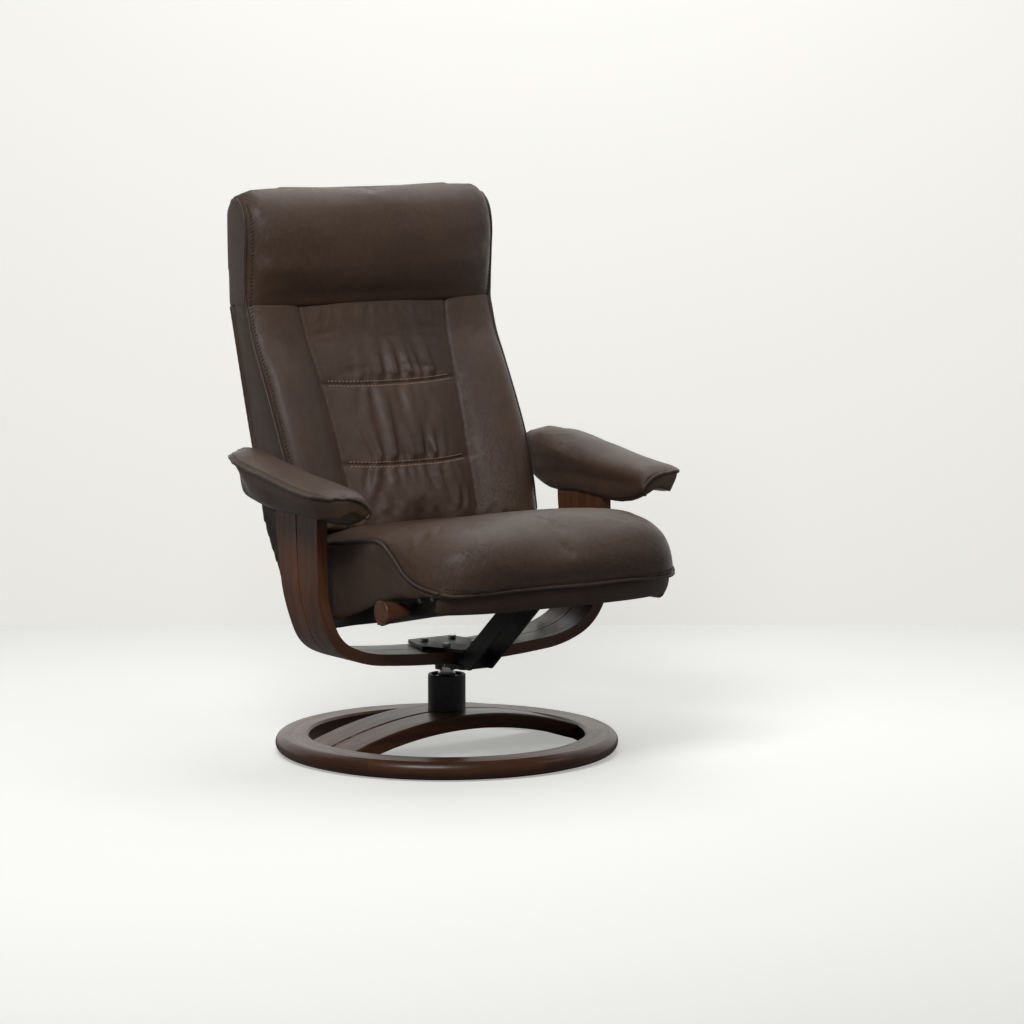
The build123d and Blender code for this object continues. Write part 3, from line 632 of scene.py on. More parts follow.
HIDE = leather("brown_hide", (0.050, 0.0280, 0.0180), (0.080, 0.0455, 0.0295), (0.125, 0.078, 0.053))
HIDE_BACK = leather("brown_hide_back", (0.045, 0.0255, 0.0165), (0.072, 0.0415, 0.0270),
                    (0.115, 0.073, 0.050), rough=(0.38, 0.50))
WELT = leather("welt_hide", (0.030, 0.0185, 0.0125), (0.060, 0.040, 0.029), (0.15, 0.10, 0.072),
               pebbles=900.0, creases=120.0, depth=0.00012)
BOW_WOOD = walnut("walnut_bow", run_round_bow, (0.048, 0.0185, 0.0088), (0.165, 0.064, 0.0285))
RING_WOOD = walnut("walnut_ring", run_round_ring)
BEAM_WOOD = walnut("walnut_beam", run_along("y"))
KNOB_WOOD = walnut("walnut_knob", run_along("y"), (0.045, 0.017, 0.008), (0.15, 0.056, 0.024))
BLACK_STEEL = coated("black_powder_coat", (0.008, 0.008, 0.008), (0.016, 0.016, 0.016), (0.32, 0.46),
                     wear_colour=(0.05, 0.05, 0.05))
BRIGHT_STEEL = coated("bright_steel", (0.50, 0.50, 0.49), (0.66, 0.66, 0.65), (0.20, 0.36), metal=1.0,
                      scale=1600.0, depth=0.00002, wear_colour=(0.75, 0.75, 0.74))
DARK_ZINC = coated("dark_zinc", (0.05, 0.05, 0.052), (0.09, 0.09, 0.092), (0.32, 0.46), metal=1.0,
                   scale=1200.0, depth=0.00003, wear_colour=(0.3, 0.3, 0.3))
PLASTIC = coated("black_nylon", (0.012, 0.012, 0.013), (0.022, 0.022, 0.023), (0.40, 0.55), scale=1400.0,
                 depth=0.00003)
DUST_CLOTH = woven("black_dust_cloth", (0.008, 0.008, 0.008), (0.028, 0.028, 0.028), 180.0)
PLYWOOD = layered_board("birch_ply")
TAN_THREAD = thread("tan_thread", (0.26, 0.165, 0.105), (0.50, 0.36, 0.25))
DARK_THREAD = thread("dark_thread", (0.016, 0.010, 0.007), (0.040, 0.026, 0.019))


def dress(piece, finish):
    """Give the piece one finish."""
    piece.data.materials.clear()
    piece.data.materials.append(finish)


def finish_piece(piece, finish, body, second=None):
    """Finish a piece and let it ride on its body; given a second body, its place is only baked into its
    mesh.
    """
    dress(piece, finish)
    if second:
        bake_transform(piece)
    else:
        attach(piece, body)
    return piece


# ---- back and head upholstery ----

# side outline of the piped front edge and of the rear edge of the side panel: (x, z)
BACK_EDGE = (
    (-0.078, 0.404), (-0.106, 0.483), (-0.143, 0.571), (-0.186, 0.654), (-0.209, 0.696),
    (-0.232, 0.738), (-0.246, 0.781), (-0.254, 0.806),
)
BACK_REAR = (
    (-0.178, 0.402), (-0.204, 0.484), (-0.233, 0.565), (-0.258, 0.642), (-0.271, 0.685),
    (-0.286, 0.728), (-0.297, 0.778), (-0.301, 0.804),
)
BACK_NARROW = ((0.40, 0.254), (0.483, 0.262), (0.56, 0.266), (1.0, 0.266))
HEAD_EDGE = (
    (-0.254, 0.795), (-0.254, 0.845), (-0.252, 0.889), (-0.250, 0.933), (-0.262, 0.974), (-0.290, 0.997),
)
HEAD_REAR = (
    (-0.3125, 0.794), (-0.317, 0.842), (-0.319, 0.889), (-0.320, 0.935), (-0.319, 0.970), (-0.306, 0.992),
)
# how far the front stands ahead of its piped edge: across the half width, at four heights
ACROSS = (0.0, 0.28, 0.545, 0.68, 0.82, 0.94, 1.0)
BACK_CROWN = (
    (0.000, 0.008, -0.008, 0.011, 0.021, 0.016, 0.0),
    (0.006, 0.004, -0.008, 0.012, 0.022, 0.017, 0.0),
    (0.014, 0.011, 0.002, 0.016, 0.023, 0.017, 0.0),
    (0.013, 0.012, 0.008, 0.011, 0.010, 0.007, 0.0),
)
HEAD_CROWN = (
    (0.015, 0.015, 0.014, 0.013, 0.011, 0.007, 0.0),
    (0.043, 0.043, 0.042, 0.040, 0.034, 0.021, 0.0),
    (0.037, 0.037, 0.036, 0.034, 0.030, 0.019, 0.0),
    (0.0235, 0.0235, 0.023, 0.022, 0.020, 0.014, 0.0),
)
SEAM_LOW = 0.517
SEAM_HIGH = 0.659
PANEL_SEAM = ((0.132, 0.425), (0.136, 0.517), (0.145, 0.659), (0.158, 0.797))


def back_half(z):
    """Half the back's width: it draws in a little towards the seat."""
    return float(np.interp(z, *np.array(BACK_NARROW).T))


def side_line(outline, side, count=200):
    """An (x, z) outline laid on one side of the back."""
    return [(x, side * back_half(z), z) for x, z in spline(outline, count)]


def upholstery(name, edge, rear, crowns, rows=40, across=61):
    """A stuffed form with flat sides: its front is crowned ahead of the edge line."""
    front, behind = spline(edge, rows), spline(rear, rows)
    run = np.gradient(front, axis=0)
    run /= np.linalg.norm(run, axis=1, keepdims=True)
    share = np.linspace(-1, 1, across)
    rings = []
    for row in range(rows):
        at = row / (rows - 1) * (len(crowns) - 1)
        below = min(int(at), len(crowns) - 2)
        crown = [a + (b - a) * (at - below) for a, b in zip(crowns[below], crowns[below + 1])]
        proud = height_at(tuple(zip(ACROSS, crown)), np.abs(share))
        ahead = np.array((run[row][1], -run[row][0]))
        faced = front[row] + proud[:, None] * ahead
        half = back_half(front[row][1])
        ring = [(x, half * t, z) for (x, z), t in zip(faced, share)]
        ring += [(behind[row][0], half * t, behind[row][1]) for t in share[::-2]]
        rings.append(np.array(ring))
    return loft(name, rings)


def facing(piece, points):
    """Where a line drawn from the front lands on the piece: (y, z) pairs in, places and normals out."""
    return lay_on(piece, [(0.1, y, z) for y, z in points], (-1, 0, 0))


def cross_seam(piece, z):
    """The line of a seam across the centre panel at one height."""
    half = height_at([(b, a) for a, b in PANEL_SEAM], z)
    sag = [(half * t, z - 0.004 * (1 - t * t)) for t in np.linspace(-1, 1, 90)]
    return facing(piece, sag)


def panel_seam(piece, side):
    """The line of the seam between the centre panel and a bolster."""
    return facing(piece, [(side * y, z) for y, z in spline(PANEL_SEAM, 160)])


def back_gathers(piece):
    """Gathers in the three centre panels, running from the threads and dying out."""
    points, _ = read_points(piece)
    chance = np.random.default_rng(11)
    x, y, z = points.T
    half = height_at([(b, a) for a, b in PANEL_SEAM], z)
    in_front = x > height_at([(b, a) for a, b in BACK_EDGE], z) - 0.02
    inside = np.clip((half - np.abs(y)) / 0.03, 0, 1) * in_front
    total = np.zeros(len(points))
    # start height, direction, reach, fan, middle, spread, depth, how many
    runs = (
        (SEAM_HIGH, 1, 0.125, -1.1, 0.01, 0.085, 0.0042, 11),
        (SEAM_HIGH, -1, 0.120, 0.25, 0.00, 0.070, 0.0034, 9),
        (SEAM_LOW, 1, 0.125, 0.25, 0.01, 0.080, 0.0046, 11),
        (SEAM_LOW, -1, 0.095, 1.1, 0.00, 0.095, 0.0044, 11),
        (0.425, 1, 0.075, 0.5, 0.00, 0.120, 0.0030, 9),
        (0.797, -1, 0.060, 0.4, 0.00, 0.120, 0.0016, 10),
    )
    for start, way, reach, fan, middle, wide, depth, count in runs:
        away = (z - start) * way
        for k in range(count):
            foot = middle + wide * ((k + 0.5) / count * 2 - 1) + chance.normal(0, 0.004)
            length = reach * chance.uniform(0.5, 1.05)
            lean = fan * foot / wide * chance.uniform(0.1, 0.5) + chance.normal(0, 0.07)
            bend = chance.normal(0, 1.2)
            line = foot + lean * away + bend * away**2
            width = 0.0050 + 0.050 * np.clip(away, 0, 1) + chance.uniform(0, 0.003)
            along = np.clip(away / 0.012, 0, 1) * np.clip(1 - away / length, 0, 1) ** 0.8
            gap = (y - line) / width
            valleys = np.exp(-((gap - 1.9) ** 2)) + np.exp(-((gap + 1.9) ** 2))
            fold = np.exp(-(gap**2)) - 0.55 * valleys
            total += depth * chance.uniform(0.45, 1.0) * chance.choice((1, 1, -0.7)) * along * fold
    gather(piece, inside, 1.5 * np.clip(total, -0.005, 0.005))


def make_back():
    """The back upholstery: two bolsters and a gathered centre in three panels."""
    piece = upholstery("back_upholstery", BACK_EDGE, BACK_REAR, BACK_CROWN)
    remesh(piece, VOXEL, 3)
    lines = [cross_seam(piece, z)[0] for z in (SEAM_LOW, SEAM_HIGH)]
    lines += [panel_seam(piece, side)[0] for side in (1, -1)]
    edges = [side_line(outline, side) for outline in (BACK_EDGE, BACK_REAR) for side in (1, -1)]
    stuff(piece, lines + edges, pressure=4.0, cap=0.012)
    subdivide(piece)
    back_gathers(piece)
    for line in lines:
        pinch(piece, line, SEAM_DEPTH, SEAM_WIDTH)
    for side in (1, -1):
        pinch(piece, side_line(BACK_EDGE, side, 300), depth=0.0015, width=0.004)
    return piece


def make_head():
    """The head cushion: one smooth roll between flat sides."""
    piece = upholstery("head_cushion", HEAD_EDGE, HEAD_REAR, HEAD_CROWN)
    remesh(piece, VOXEL, 4)
    edges = [side_line(outline, side) for outline in (HEAD_EDGE, HEAD_REAR) for side in (1, -1)]
    low = facing(piece, [(BACK_HALF * t, 0.806) for t in np.linspace(-0.97, 0.97, 150)])[0]
    stuff(piece, edges + [low], pressure=3.0, cap=0.005)
    subdivide(piece)
    return piece


def welt(name, piece, line, body):
    """Piping sewn along an edge of the piece."""
    places, _ = snap_to(piece, line, PIPING_LIFT)
    return finish_piece(tube(name, ease(places), PIPING), WELT, body)


def add_back_sewing(back, head):
    """Piping, contrast rows and saddle stitches of the back and the head."""
    for name, side in SIDES:
        low = side_line(BACK_EDGE, side, 150)[3:-2]
        high = side_line(HEAD_EDGE, side, 90)[4:-3]
        low_places = snap_to(back, low, PIPING_LIFT)[0]
        high_places = snap_to(head, high, PIPING_LIFT)[0]
        line = ease(np.concatenate((low_places, high_places)), 8)
        piping = tube(f"back_piping_{name}", line, PIPING)
        finish_piece(piping, WELT, "back", "headrest")
        inner = np.concatenate((low, high))[8:-4] + np.array((0.02, -side * 0.0085, 0))
        landed = [lay_on(host, [p for p in inner if keep(p)], (-1, 0, 0)) for host, keep in
                  ((back, lambda p: p[2] < 0.797), (head, lambda p: p[2] > 0.806))]
        places = np.concatenate([landed[0][0], landed[1][0]])
        normals = np.concatenate([landed[0][1], landed[1][1]])
        rows = stitch_row(f"back_saddle_stitch_{name}", places, normals, *SADDLE, slant=0.9 * side)
        finish_piece(rows, DARK_THREAD, "back", "headrest")
    for name, z in (("low", SEAM_LOW), ("high", SEAM_HIGH)):
        for row, shift in (("upper", 0.0042), ("lower", -0.0042)):
            places, normals = cross_seam(back, z + shift)
            rows = stitch_row(f"contrast_{name}_{row}", places[3:-3], normals[3:-3], *CONTRAST, slant=0.25)
            finish_piece(rows, TAN_THREAD, "back")


# ---- rear cover ----

# the cover's rear outline (x, z), its half width (z, y) and the front of its cheeks (z, x)
COVER_REAR = (
    (-0.310, 0.800), (-0.243, 0.577), (-0.203, 0.454), (-0.176, 0.348), (-0.149, 0.278), (-0.118, 0.243),
)
COVER_HALF = ((0.243, 0.224), (0.30, 0.244), (0.42, 0.2665), (0.60, 0.2665), (0.81, 0.2665))
CHEEK_FRONT = (
    (0.243, -0.106), (0.262, -0.100), (0.312, -0.081), (0.36, -0.079), (0.405, -0.080), (0.428, -0.120),
    (0.45, -0.185), (0.47, -0.1985),
)
COVER_SKIN = 0.010


def make_rear_cover():
    """The leather-covered shell behind the back, curling forward below into two side cheeks."""
    rings = []
    for x, z in spline(COVER_REAR, 60):
        half = np.interp(z, *np.array(COVER_HALF).T)
        front = max(x + COVER_SKIN, np.interp(z, *np.array(CHEEK_FRONT).T) if z < 0.47 else -1)
        wide = np.linspace(-1, 1, 41)
        bulge = 0.004 * (1 - wide**2)
        outside = [(x - b, half * t, z) for t, b in zip(wide, bulge)]
        inner = half - COVER_SKIN - 0.003
        inside = [(x + COVER_SKIN, inner * t, z + 0.001) for t in wide[::-1]]
        right_lip = [(front, -inner, z), (front, -half, z)]
        left_lip = [(front, half, z), (front, inner, z)]
        rings.append(np.array(outside + left_lip + inside + right_lip))
    piece = loft("rear_cover_hide", rings)
    remesh(piece, FINE_VOXEL, 3)
    for side in (1, -1):
        rear = spline(COVER_REAR, 200)
        edge = [(x + 0.004, side * np.interp(z, *np.array(COVER_HALF).T), z) for x, z in rear]
        pinch(piece, edge, depth=-0.0010, width=0.0035)
    finish_piece(piece, HIDE_BACK, "back", "headrest")
    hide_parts("rear_cover")
    return piece


# ---- seat ----

SEAT_EDGE = (
    (-0.112, 0.392), (-0.02, 0.399), (0.070, 0.410), (0.154, 0.421), (0.186, 0.424), (0.211, 0.420),
    (0.235, 0.407), (0.255, 0.394), (0.280, 0.375), (0.312, 0.359), (0.352, 0.348),
)
SEAT_CREST = (
    (-0.112, 0.408), (-0.02, 0.414), (0.080, 0.427), (0.160, 0.442), (0.205, 0.451), (0.255, 0.457),
    (0.305, 0.4575), (0.349, 0.449), (0.380, 0.430), (0.397, 0.398), (0.395, 0.348),
)
SKIRT_LOW = (
    (-0.112, 0.268), (0.0, 0.262), (0.061, 0.267), (0.143, 0.292), (0.215, 0.320), (0.272, 0.331),
    (0.36, 0.342),
)
SKIRT_THICK = 0.010


def seat_floor(x):
    """The height of the cushion's underside over the sloping steel frame."""
    return 0.244 + x * 0.2126 + 0.034


def seat_half(x):
    """Half the seat's width: it narrows behind, between the arm bow's sides."""
    drawn_in = 0.026 * float(np.clip((x - 0.27) / 0.082, 0, 1)) ** 2
    return float(np.interp(x, (-0.028, -0.012), (SEAT_NARROW, SEAT_HALF - 0.002))) - drawn_in


def make_seat():
    """The seat: a long cushion that rolls over in front, with side panels below its piping."""
    edge, crest = spline(SEAT_EDGE, 90), spline(SEAT_CREST, 90)
    share = np.linspace(-1, 1, 57)
    rings = []
    for (ex, ez), (cx, cz) in zip(edge, crest):
        half = seat_half(ex)
        rolled = np.abs(share) ** float(np.interp(ex, (0.16, 0.28), (3.6, 6.5)))
        top = [(cx + (ex - cx) * b, half * t, cz + (ez - cz) * b) for t, b in zip(share, rolled)]
        floor = min(seat_floor(ex), ez - 0.012)
        skirt = min(float(np.interp(ex, *np.array(SKIRT_LOW).T)), ez - 0.010)
        skirt = skirt if half > 0.26 else floor
        inner = half - SKIRT_THICK
        left = [(ex, half, skirt + 0.002), (ex, half - 0.003, skirt), (ex, inner, skirt), (ex, inner, floor)]
        right = [(x, -y, z) for x, y, z in left[::-1]]
        under = [(ex + (cx - ex) * (1 - abs(t)) * 0.9, inner * t, floor) for t in share[-2:0:-4]]
        rings.append(np.array(top + left + under + right))
    piece = loft("seat_upholstery", rings)
    remesh(piece, VOXEL, 3)
    welts = [[(x, side * seat_half(x), z) for x, z in spline(SEAT_EDGE, 300)] for side in (1, -1)]
    bottom = [[(x, side * seat_half(x), z) for x, z in spline(SKIRT_LOW, 200)] for side in (1, -1)]
    front = [[(0.393, y, 0.350) for y in np.linspace(-0.26, 0.26, 200)]]
    stuff(piece, welts + bottom + front, pressure=3.0, cap=0.006)
    subdivide(piece)
    for line in welts:
        pinch(piece, line, depth=0.0014, width=0.004)
    return piece


def add_seat_sewing(seat):
    """Piping down both sides and round the front, and the saddle stitches beside it."""
    for name, side in SIDES:
        line = [(x, side * seat_half(x), z) for x, z in spline(SEAT_EDGE, 220)[14:]]
        welt(f"seat_piping_{name}", seat, line, "seat")
        beside = [(x, side * (seat_half(x) - 0.008), z + 0.004) for x, z in spline(SEAT_EDGE, 220)[90:-8]]
        places, normals = snap_to(seat, beside, 0)
        rows = stitch_row(f"seat_saddle_stitch_{name}", ease(places), normals, *SADDLE, slant=0.9 * side)
        finish_piece(rows, DARK_THREAD, "seat")
    front = [(0.395 - 0.043 * abs(t) ** 4, 0.246 * t, 0.347) for t in np.linspace(-1, 1, 160)]
    welt("seat_piping_front", seat, front, "seat")
    above = [(0.396 - 0.043 * abs(t) ** 4, 0.240 * t, 0.356) for t in np.linspace(-1, 1, 160)]
    places, normals = snap_to(seat, above, 0)
    rows = stitch_row("seat_front_stitch", ease(places), normals, *FRONT_STITCH, slant=0.7)
    finish_piece(rows, DARK_THREAD, "seat")


APRON_SECTION = (
    (0.390, 0.350), (0.389, 0.335), (0.384, 0.318), (0.376, 0.307), (0.371, 0.309), (0.377, 0.320),
    (0.381, 0.336), (0.381, 0.350),
)


def add_seat_apron():
    """The leather strip that closes the front of the steel frame below the seat's piping."""
    rings = []
    for t in np.linspace(-1, 1, 45):
        back = 0.045 * abs(t) ** 4
        rings.append(np.array([(x - back, 0.246 * t, z) for x, z in APRON_SECTION]))
    piece = loft("seat_front_apron", rings)
    subdivide(piece)
    finish_piece(piece, HIDE_BACK, "seat")


# ---- arm pads ----

PAD_REAR = -0.182
PAD_FRONT_X = 0.204
# side outlines (x, z): the crown, the outer piping, the band below it, the underside, the inner lip
PAD_TOP = (
    (-0.182, 0.551), (-0.155, 0.557), (-0.06, 0.547), (0.06, 0.530), (0.15, 0.519), (0.188, 0.512),
    (0.204, 0.503),
)
PAD_WELT = (
    (-0.182, 0.546), (-0.146, 0.546), (-0.120, 0.546), (-0.100, 0.541), (-0.069, 0.536), (-0.038, 0.530),
    (-0.004, 0.526), (0.039, 0.519), (0.082, 0.512), (0.124, 0.507), (0.166, 0.505), (0.204, 0.504),
)
PAD_OUTER_LOW = (
    (-0.182, 0.541), (-0.130, 0.538), (-0.100, 0.529), (-0.082, 0.509), (-0.051, 0.495), (-0.016, 0.486),
    (0.027, 0.483), (0.095, 0.475), (0.166, 0.473), (0.204, 0.476),
)
PAD_UNDER = (
    (-0.182, 0.543), (-0.160, 0.510), (-0.125, 0.478), (-0.09, 0.4695), (0.17, 0.4695), (0.204, 0.473),
)
PAD_FLAP = (
    (-0.182, 0.541), (-0.172, 0.505), (-0.150, 0.470), (-0.115, 0.454), (0.0, 0.450), (0.165, 0.452),
    (0.204, 0.466),
)
# the piping across the pad's front end: (y, z)
PAD_FRONT = (
    (0.388, 0.505), (0.357, 0.503), (0.331, 0.501), (0.311, 0.495), (0.298, 0.486), (0.291, 0.476),
    (0.2895, 0.468), (0.298, 0.461),
)


PAD_PLAN = (
    (PAD_REAR, 0.328), (-0.150, ARM_OUTER - 0.024), (-0.120, ARM_OUTER - 0.008), (-0.09, ARM_OUTER),
    (0.168, ARM_OUTER), (PAD_FRONT_X, ARM_OUTER - 0.020),
)
BAND_TUCK = 0.0155


def pad_outer(x):
    """How far out the pad's piped edge is: its rear outer corner is cut off at an angle."""
    return float(np.interp(x, *np.array(PAD_PLAN).T))


def pad_section(x, side):
    """One slice of the arm pad: crowned top, tall inner face, and a band below the outer piping."""
    top, welt_z, outer_low, under, flap = (
        float(height_at(line, x)) for line in (PAD_TOP, PAD_WELT, PAD_OUTER_LOW, PAD_UNDER, PAD_FLAP)
    )
    outer, inner = pad_outer(x), ARM_INNER + 0.0005
    low_out = outer - BAND_TUCK
    crown = (
        (outer, welt_z), (outer - 0.010, welt_z + 0.35 * (top - welt_z) + 0.002),
        (outer - 0.030, top - 0.003), (0.335, top), (0.314, top - 0.0015),
        (inner + 0.009, top - 0.008), (inner + 0.001, top - 0.020),
    )
    inner_face = (
        (inner, 0.5 * (top + flap)), (inner, flap + 0.006), (inner + 0.006, flap),
        (inner + 0.020, flap + 0.004),
    )
    below = (
        (inner + 0.026, under), (min(0.345, low_out - 0.02), under), (low_out - 0.004, outer_low - 0.008),
        (low_out, outer_low), (0.5 * (low_out + outer) + 0.001, 0.5 * (outer_low + welt_z)),
        (outer - 0.002, welt_z - 0.003),
    )
    section = crown + inner_face + below
    closed = spline(section + section[:1], 90)[:-1]
    return np.array([(x, side * y, z) for y, z in closed])


def make_arm(name, side):
    """One stuffed arm pad, with its piping and stitches."""
    rings = [pad_section(x, side) for x in np.linspace(PAD_REAR, PAD_FRONT_X, 56)]
    piece = loft(f"arm_upholstery_{name}", rings)
    remesh(piece, FINE_VOXEL, 3)
    outer = [(x, side * pad_outer(x), z) for x, z in spline(PAD_WELT, 200)]
    front = [(PAD_FRONT_X - 0.003, side * y, z) for y, z in spline(PAD_FRONT, 120)]
    low = [(x, side * (pad_outer(x) - BAND_TUCK), z) for x, z in spline(PAD_OUTER_LOW, 200)]
    rests = (0.295, 0.315, 0.335, 0.355)
    under = [(x, side * y, BOW_TOP) for x in np.linspace(-0.1, 0.16, 60) for y in rests]
    stuff(piece, [outer, front, low, under], pressure=3.0, cap=0.004)
    subdivide(piece)
    line = outer[20:-8] + front[6:]
    pinch(piece, line, depth=0.0016, width=0.0035)
    finish_piece(piece, HIDE, "frame")
    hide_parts(f"arm_pad_{name}")
    welt(f"arm_piping_{name}", piece, line, "frame")
    beside = [(x, side * (abs(y) - 0.009), z + 0.006) for x, y, z in outer[24:-10]]
    places, normals = snap_to(piece, beside, 0)
    rows = stitch_row(f"arm_stitch_{name}", ease(places), normals, *PAD_STITCH)
    finish_piece(rows, DARK_THREAD, "frame")


# ---- the carried-over hard parts ----

HARD_FINISHES = {
    "base_ring": RING_WOOD, "base_bow_front": BEAM_WOOD, "base_bow_rear": BEAM_WOOD,
    "arm_bow_front": BOW_WOOD, "arm_bow_rear": BOW_WOOD, "knob_left": KNOB_WOOD, "knob_right": KNOB_WOOD,
    "floor_strip": PLASTIC, "base_clamp_plate": BLACK_STEEL, "column_foot_plate": BLACK_STEEL,
    "column_bolts": BRIGHT_STEEL, "column_tube": BLACK_STEEL, "spindle_bush": PLASTIC,
    "thrust_washer": BRIGHT_STEEL, "swivel_spindle": BRIGHT_STEEL, "hub_bracket": BLACK_STEEL,
    "hub_bolts": BRIGHT_STEEL, "arm_screws": BRIGHT_STEEL, "arm_board_left": PLYWOOD,
    "arm_board_right": PLYWOOD, "guide_cross_tube": BLACK_STEEL, "rail_screws": BRIGHT_STEEL,
    "link_pins": BRIGHT_STEEL, "seat_cross_bar_rear": BLACK_STEEL, "seat_cross_bar_front": BLACK_STEEL,
    "seat_springs": BRIGHT_STEEL, "seat_dust_cover": DUST_CLOTH, "back_frame": BLACK_STEEL,
    "back_springs": BRIGHT_STEEL, "headrest_frame": BLACK_STEEL,
}
for side_name, _ in SIDES:
    HARD_FINISHES.update({
        f"back_pivot_{side_name}": BLACK_STEEL, f"support_bar_{side_name}": BLACK_STEEL,
        f"slide_block_{side_name}": PLASTIC, f"seat_side_bar_{side_name}": BLACK_STEEL,
        f"glide_rail_{side_name}": DARK_ZINC, f"clamp_spindle_{side_name}": BRIGHT_STEEL,
        f"back_lug_{side_name}": BLACK_STEEL, f"headrest_hinge_{side_name}": BLACK_STEEL,
    })
EASED_EDGES = {"arm_bow_front": 0.003, "arm_bow_rear": 0.003, "hub_bracket": 0.001}


def finish_hard_parts():
    """Every hard node gets its real finish; the wood's sawn edges are eased."""
    for name, finish in HARD_FINISHES.items():
        dress(nodes[name], finish)
        nodes[name].data.shade_smooth()
    for name, width in EASED_EDGES.items():
        eased = nodes[name].modifiers.new("eased", "BEVEL")
        eased.width = width
        eased.segments = 3
        eased.limit_method = "ANGLE"
        eased.angle_limit = radians(50)
        eased.harden_normals = False


# ---- stage, light and camera ----

LOOK = Vector((-0.81843, 0.56085, -0.12499))
CAMERA_PLACE = Vector((5.9506, -3.9349, 1.3331))
LENS = 140.625
SENSOR = 36
WALL_BEHIND = 1.48
WALL_HALF = 5
DIM = (0.26, 0.26, 0.26)
# name, place, aim, size, watts
SOFT_BOXES = (
    ("key", (1.7, -2.1, 2.9), (0, 0, 0.6), (1.6, 1.2), 82),
    ("top", (0.2, 0.6, 2.9), (0, 0, 0.5), (1.8, 1.8), 18),
    ("rear", (-0.95, 0.75, 2.4), (0, 0, 0.6), (1.2, 0.8), 9),
    ("fill", (2.4, 2.8, 2.0), (0, 0, 0.5), (1.4, 1.2), 9),
)


def plane(name, corners, finish):
    """A flat stage piece."""
    made = make_mesh(name, corners, [(0, 1, 2, 3)])
    made.data.materials.append(finish)
    return made


def shown_to(tree, ray, shader, otherwise):
    """One shader for one kind of ray, and another for every other kind."""
    asked = add(tree, "ShaderNodeLightPath").outputs[ray]
    return add(tree, "ShaderNodeMixShader", {0: asked, 1: otherwise, 2: shader}).outputs[0]


def paper(name, colour, glow, mirrored, near=1.0, clear_behind=False):
    """Plain studio paper, its colour darkened by near towards the front as painted shade, that throws little
    light on the chair.

    A mirrored one shows in the chair's gloss; clear_behind lets one look through its back.
    """
    made, tree, shader, where = new_finish(name, Roughness=0.9, Specular_IOR_Level=0.1)
    depth = add(tree, "ShaderNodeVectorMath", {0: where, 1: LOOK}, operation="DOT_PRODUCT").outputs["Value"]
    fibre_and_painted_shade = spread(tree, noise(tree, where, 0.9, 2.0), 0.0, 1.0, 0.97, 1.0)
    # painted shade: the paper fibre tone is darkened towards the camera, down to near times the paper's
    # colour
    fibre_and_painted_shade = math(tree, "MULTIPLY", fibre_and_painted_shade, spread(tree, depth, -3.0, 0.2, near, 1.0))
    tree.links.new(mixed(tree, fibre_and_painted_shade, (0.0, 0.0, 0.0), colour), shader.inputs["Base Color"])
    shader.inputs["Emission Color"].default_value = (*colour, 1)
    shader.inputs["Emission Strength"].default_value = glow
    bright = shader.outputs[0]
    dim = add(tree, "ShaderNodeBsdfDiffuse", {"Color": (*DIM, 1)}).outputs[0]
    if mirrored:
        shown = shown_to(tree, "Is Diffuse Ray", dim, bright)
    else:
        shown = shown_to(tree, "Is Camera Ray", bright, dim)
    if clear_behind:
        behind = add(tree, "ShaderNodeNewGeometry").outputs["Backfacing"]
        clear = add(tree, "ShaderNodeBsdfTransparent")
        shown = add(tree, "ShaderNodeMixShader", {0: behind, 1: shown, 2: clear.outputs[0]}).outputs[0]
    tree.links.new(shown, tree.nodes["Material Output"].inputs["Surface"])
    return made


def make_room(light, shown):
    """An even room: light falls on the chair from all round, and the camera sees pale paper."""
    world = bpy.data.worlds.new("room")
    world.use_nodes = True
    tree = world.node_tree
    lit = add(tree, "ShaderNodeBackground", {"Color": (0.92, 0.96, 1.0, 1), "Strength": light})
    seen = add(tree, "ShaderNodeBackground", {"Color": (*shown, 1), "Strength": 1.0})
    both = shown_to(tree, "Is Camera Ray", seen.outputs[0], lit.outputs[0])
    tree.links.new(both, tree.nodes["World Output"].inputs["Surface"])
    bpy.context.scene.world = world


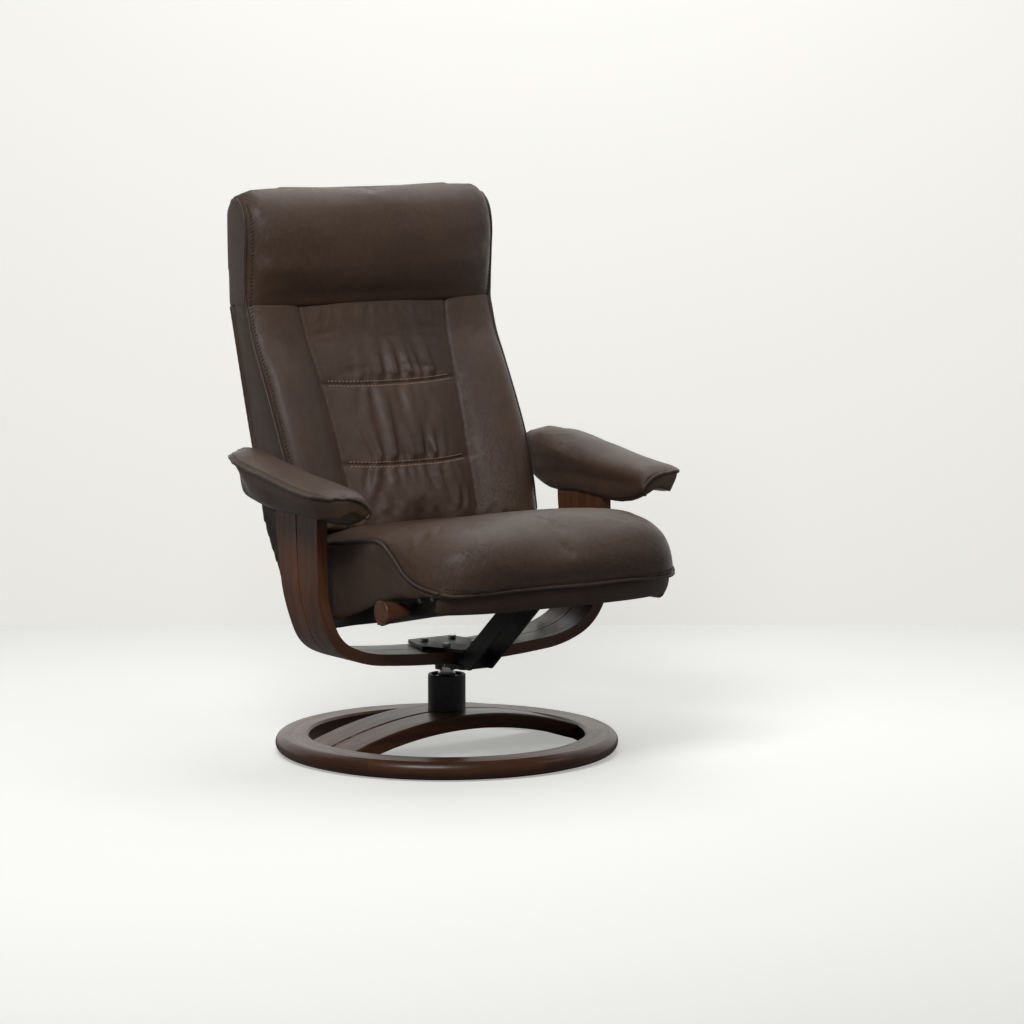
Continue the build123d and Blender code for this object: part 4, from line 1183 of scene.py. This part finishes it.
def soft_box(name, place_at, target, size, power):
    """A large soft light aimed at a point."""
    light = bpy.data.lights.new(name, "AREA")
    light.shape = "RECTANGLE"
    light.size, light.size_y = size
    light.energy = power
    made = bpy.data.objects.new(name, light)
    made.location = place_at
    made.rotation_euler = (Vector(target) - Vector(place_at)).to_track_quat("-Z", "Y").to_euler()
    bpy.context.scene.collection.objects.link(made)


def make_camera():
    """A long lens, level with the chair's middle and a little above it."""
    lens = bpy.data.cameras.new("camera")
    lens.lens = LENS
    lens.sensor_width = SENSOR
    lens.clip_end = 60
    camera = bpy.data.objects.new("camera", lens)
    right = Vector((-LOOK.y, LOOK.x, 0)).normalized() * -1
    up = right.cross(LOOK).normalized()
    turn = Matrix((right, up, -LOOK)).transposed().to_4x4()
    camera.matrix_world = Matrix.Translation(CAMERA_PLACE) @ turn
    bpy.context.scene.collection.objects.link(camera)
    bpy.context.scene.camera = camera


def make_stage():
    """Pale floor and wall, an even room, four soft boxes, and the camera."""
    # near=0.46 paints shade on the floor paper's front, darkening it towards the camera
    floor_paper = paper("floor_paper", (0.88, 0.88, 0.85), 0.40, mirrored=False, near=0.46)
    wall_paper = paper("wall_paper", (0.70, 0.695, 0.665), 0.74, mirrored=True, clear_behind=True)
    plane("floor", [(-8, -8, 0), (8, -8, 0), (8, 8, 0), (-8, 8, 0)], floor_paper)
    flat = Vector((LOOK.x, LOOK.y, 0)).normalized()
    side = Vector((-flat.y, flat.x, 0)) * WALL_HALF
    foot = flat * WALL_BEHIND
    rise = Vector((0, 0, WALL_HALF))
    corners = [foot + side, foot - side, foot - side + rise, foot + side + rise]
    plane("wall", [tuple(c) for c in corners], wall_paper)
    make_room(0.07, (0.86, 0.85, 0.82))
    for box in SOFT_BOXES:
        soft_box(*box)
    bpy.context.scene.view_settings.view_transform = "Standard"
    make_camera()


make_stage()
finish_hard_parts()

back_piece = make_back()
head_piece = make_head()
add_back_sewing(back_piece, head_piece)
BACK_PADS = ((back_piece, "back_cushion", 0.6), (head_piece, "headrest_cushion", 0.75))
for soft, stands_for, fullness in BACK_PADS:
    finish_piece(soft, HIDE, "back", "headrest")
    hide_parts(stands_for)
make_rear_cover()

seat_piece = make_seat()
add_seat_sewing(seat_piece)
add_seat_apron()
finish_piece(seat_piece, HIDE, "seat")
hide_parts("seat_cushion")

for side_name, side_sign in SIDES:
    make_arm(side_name, side_sign)
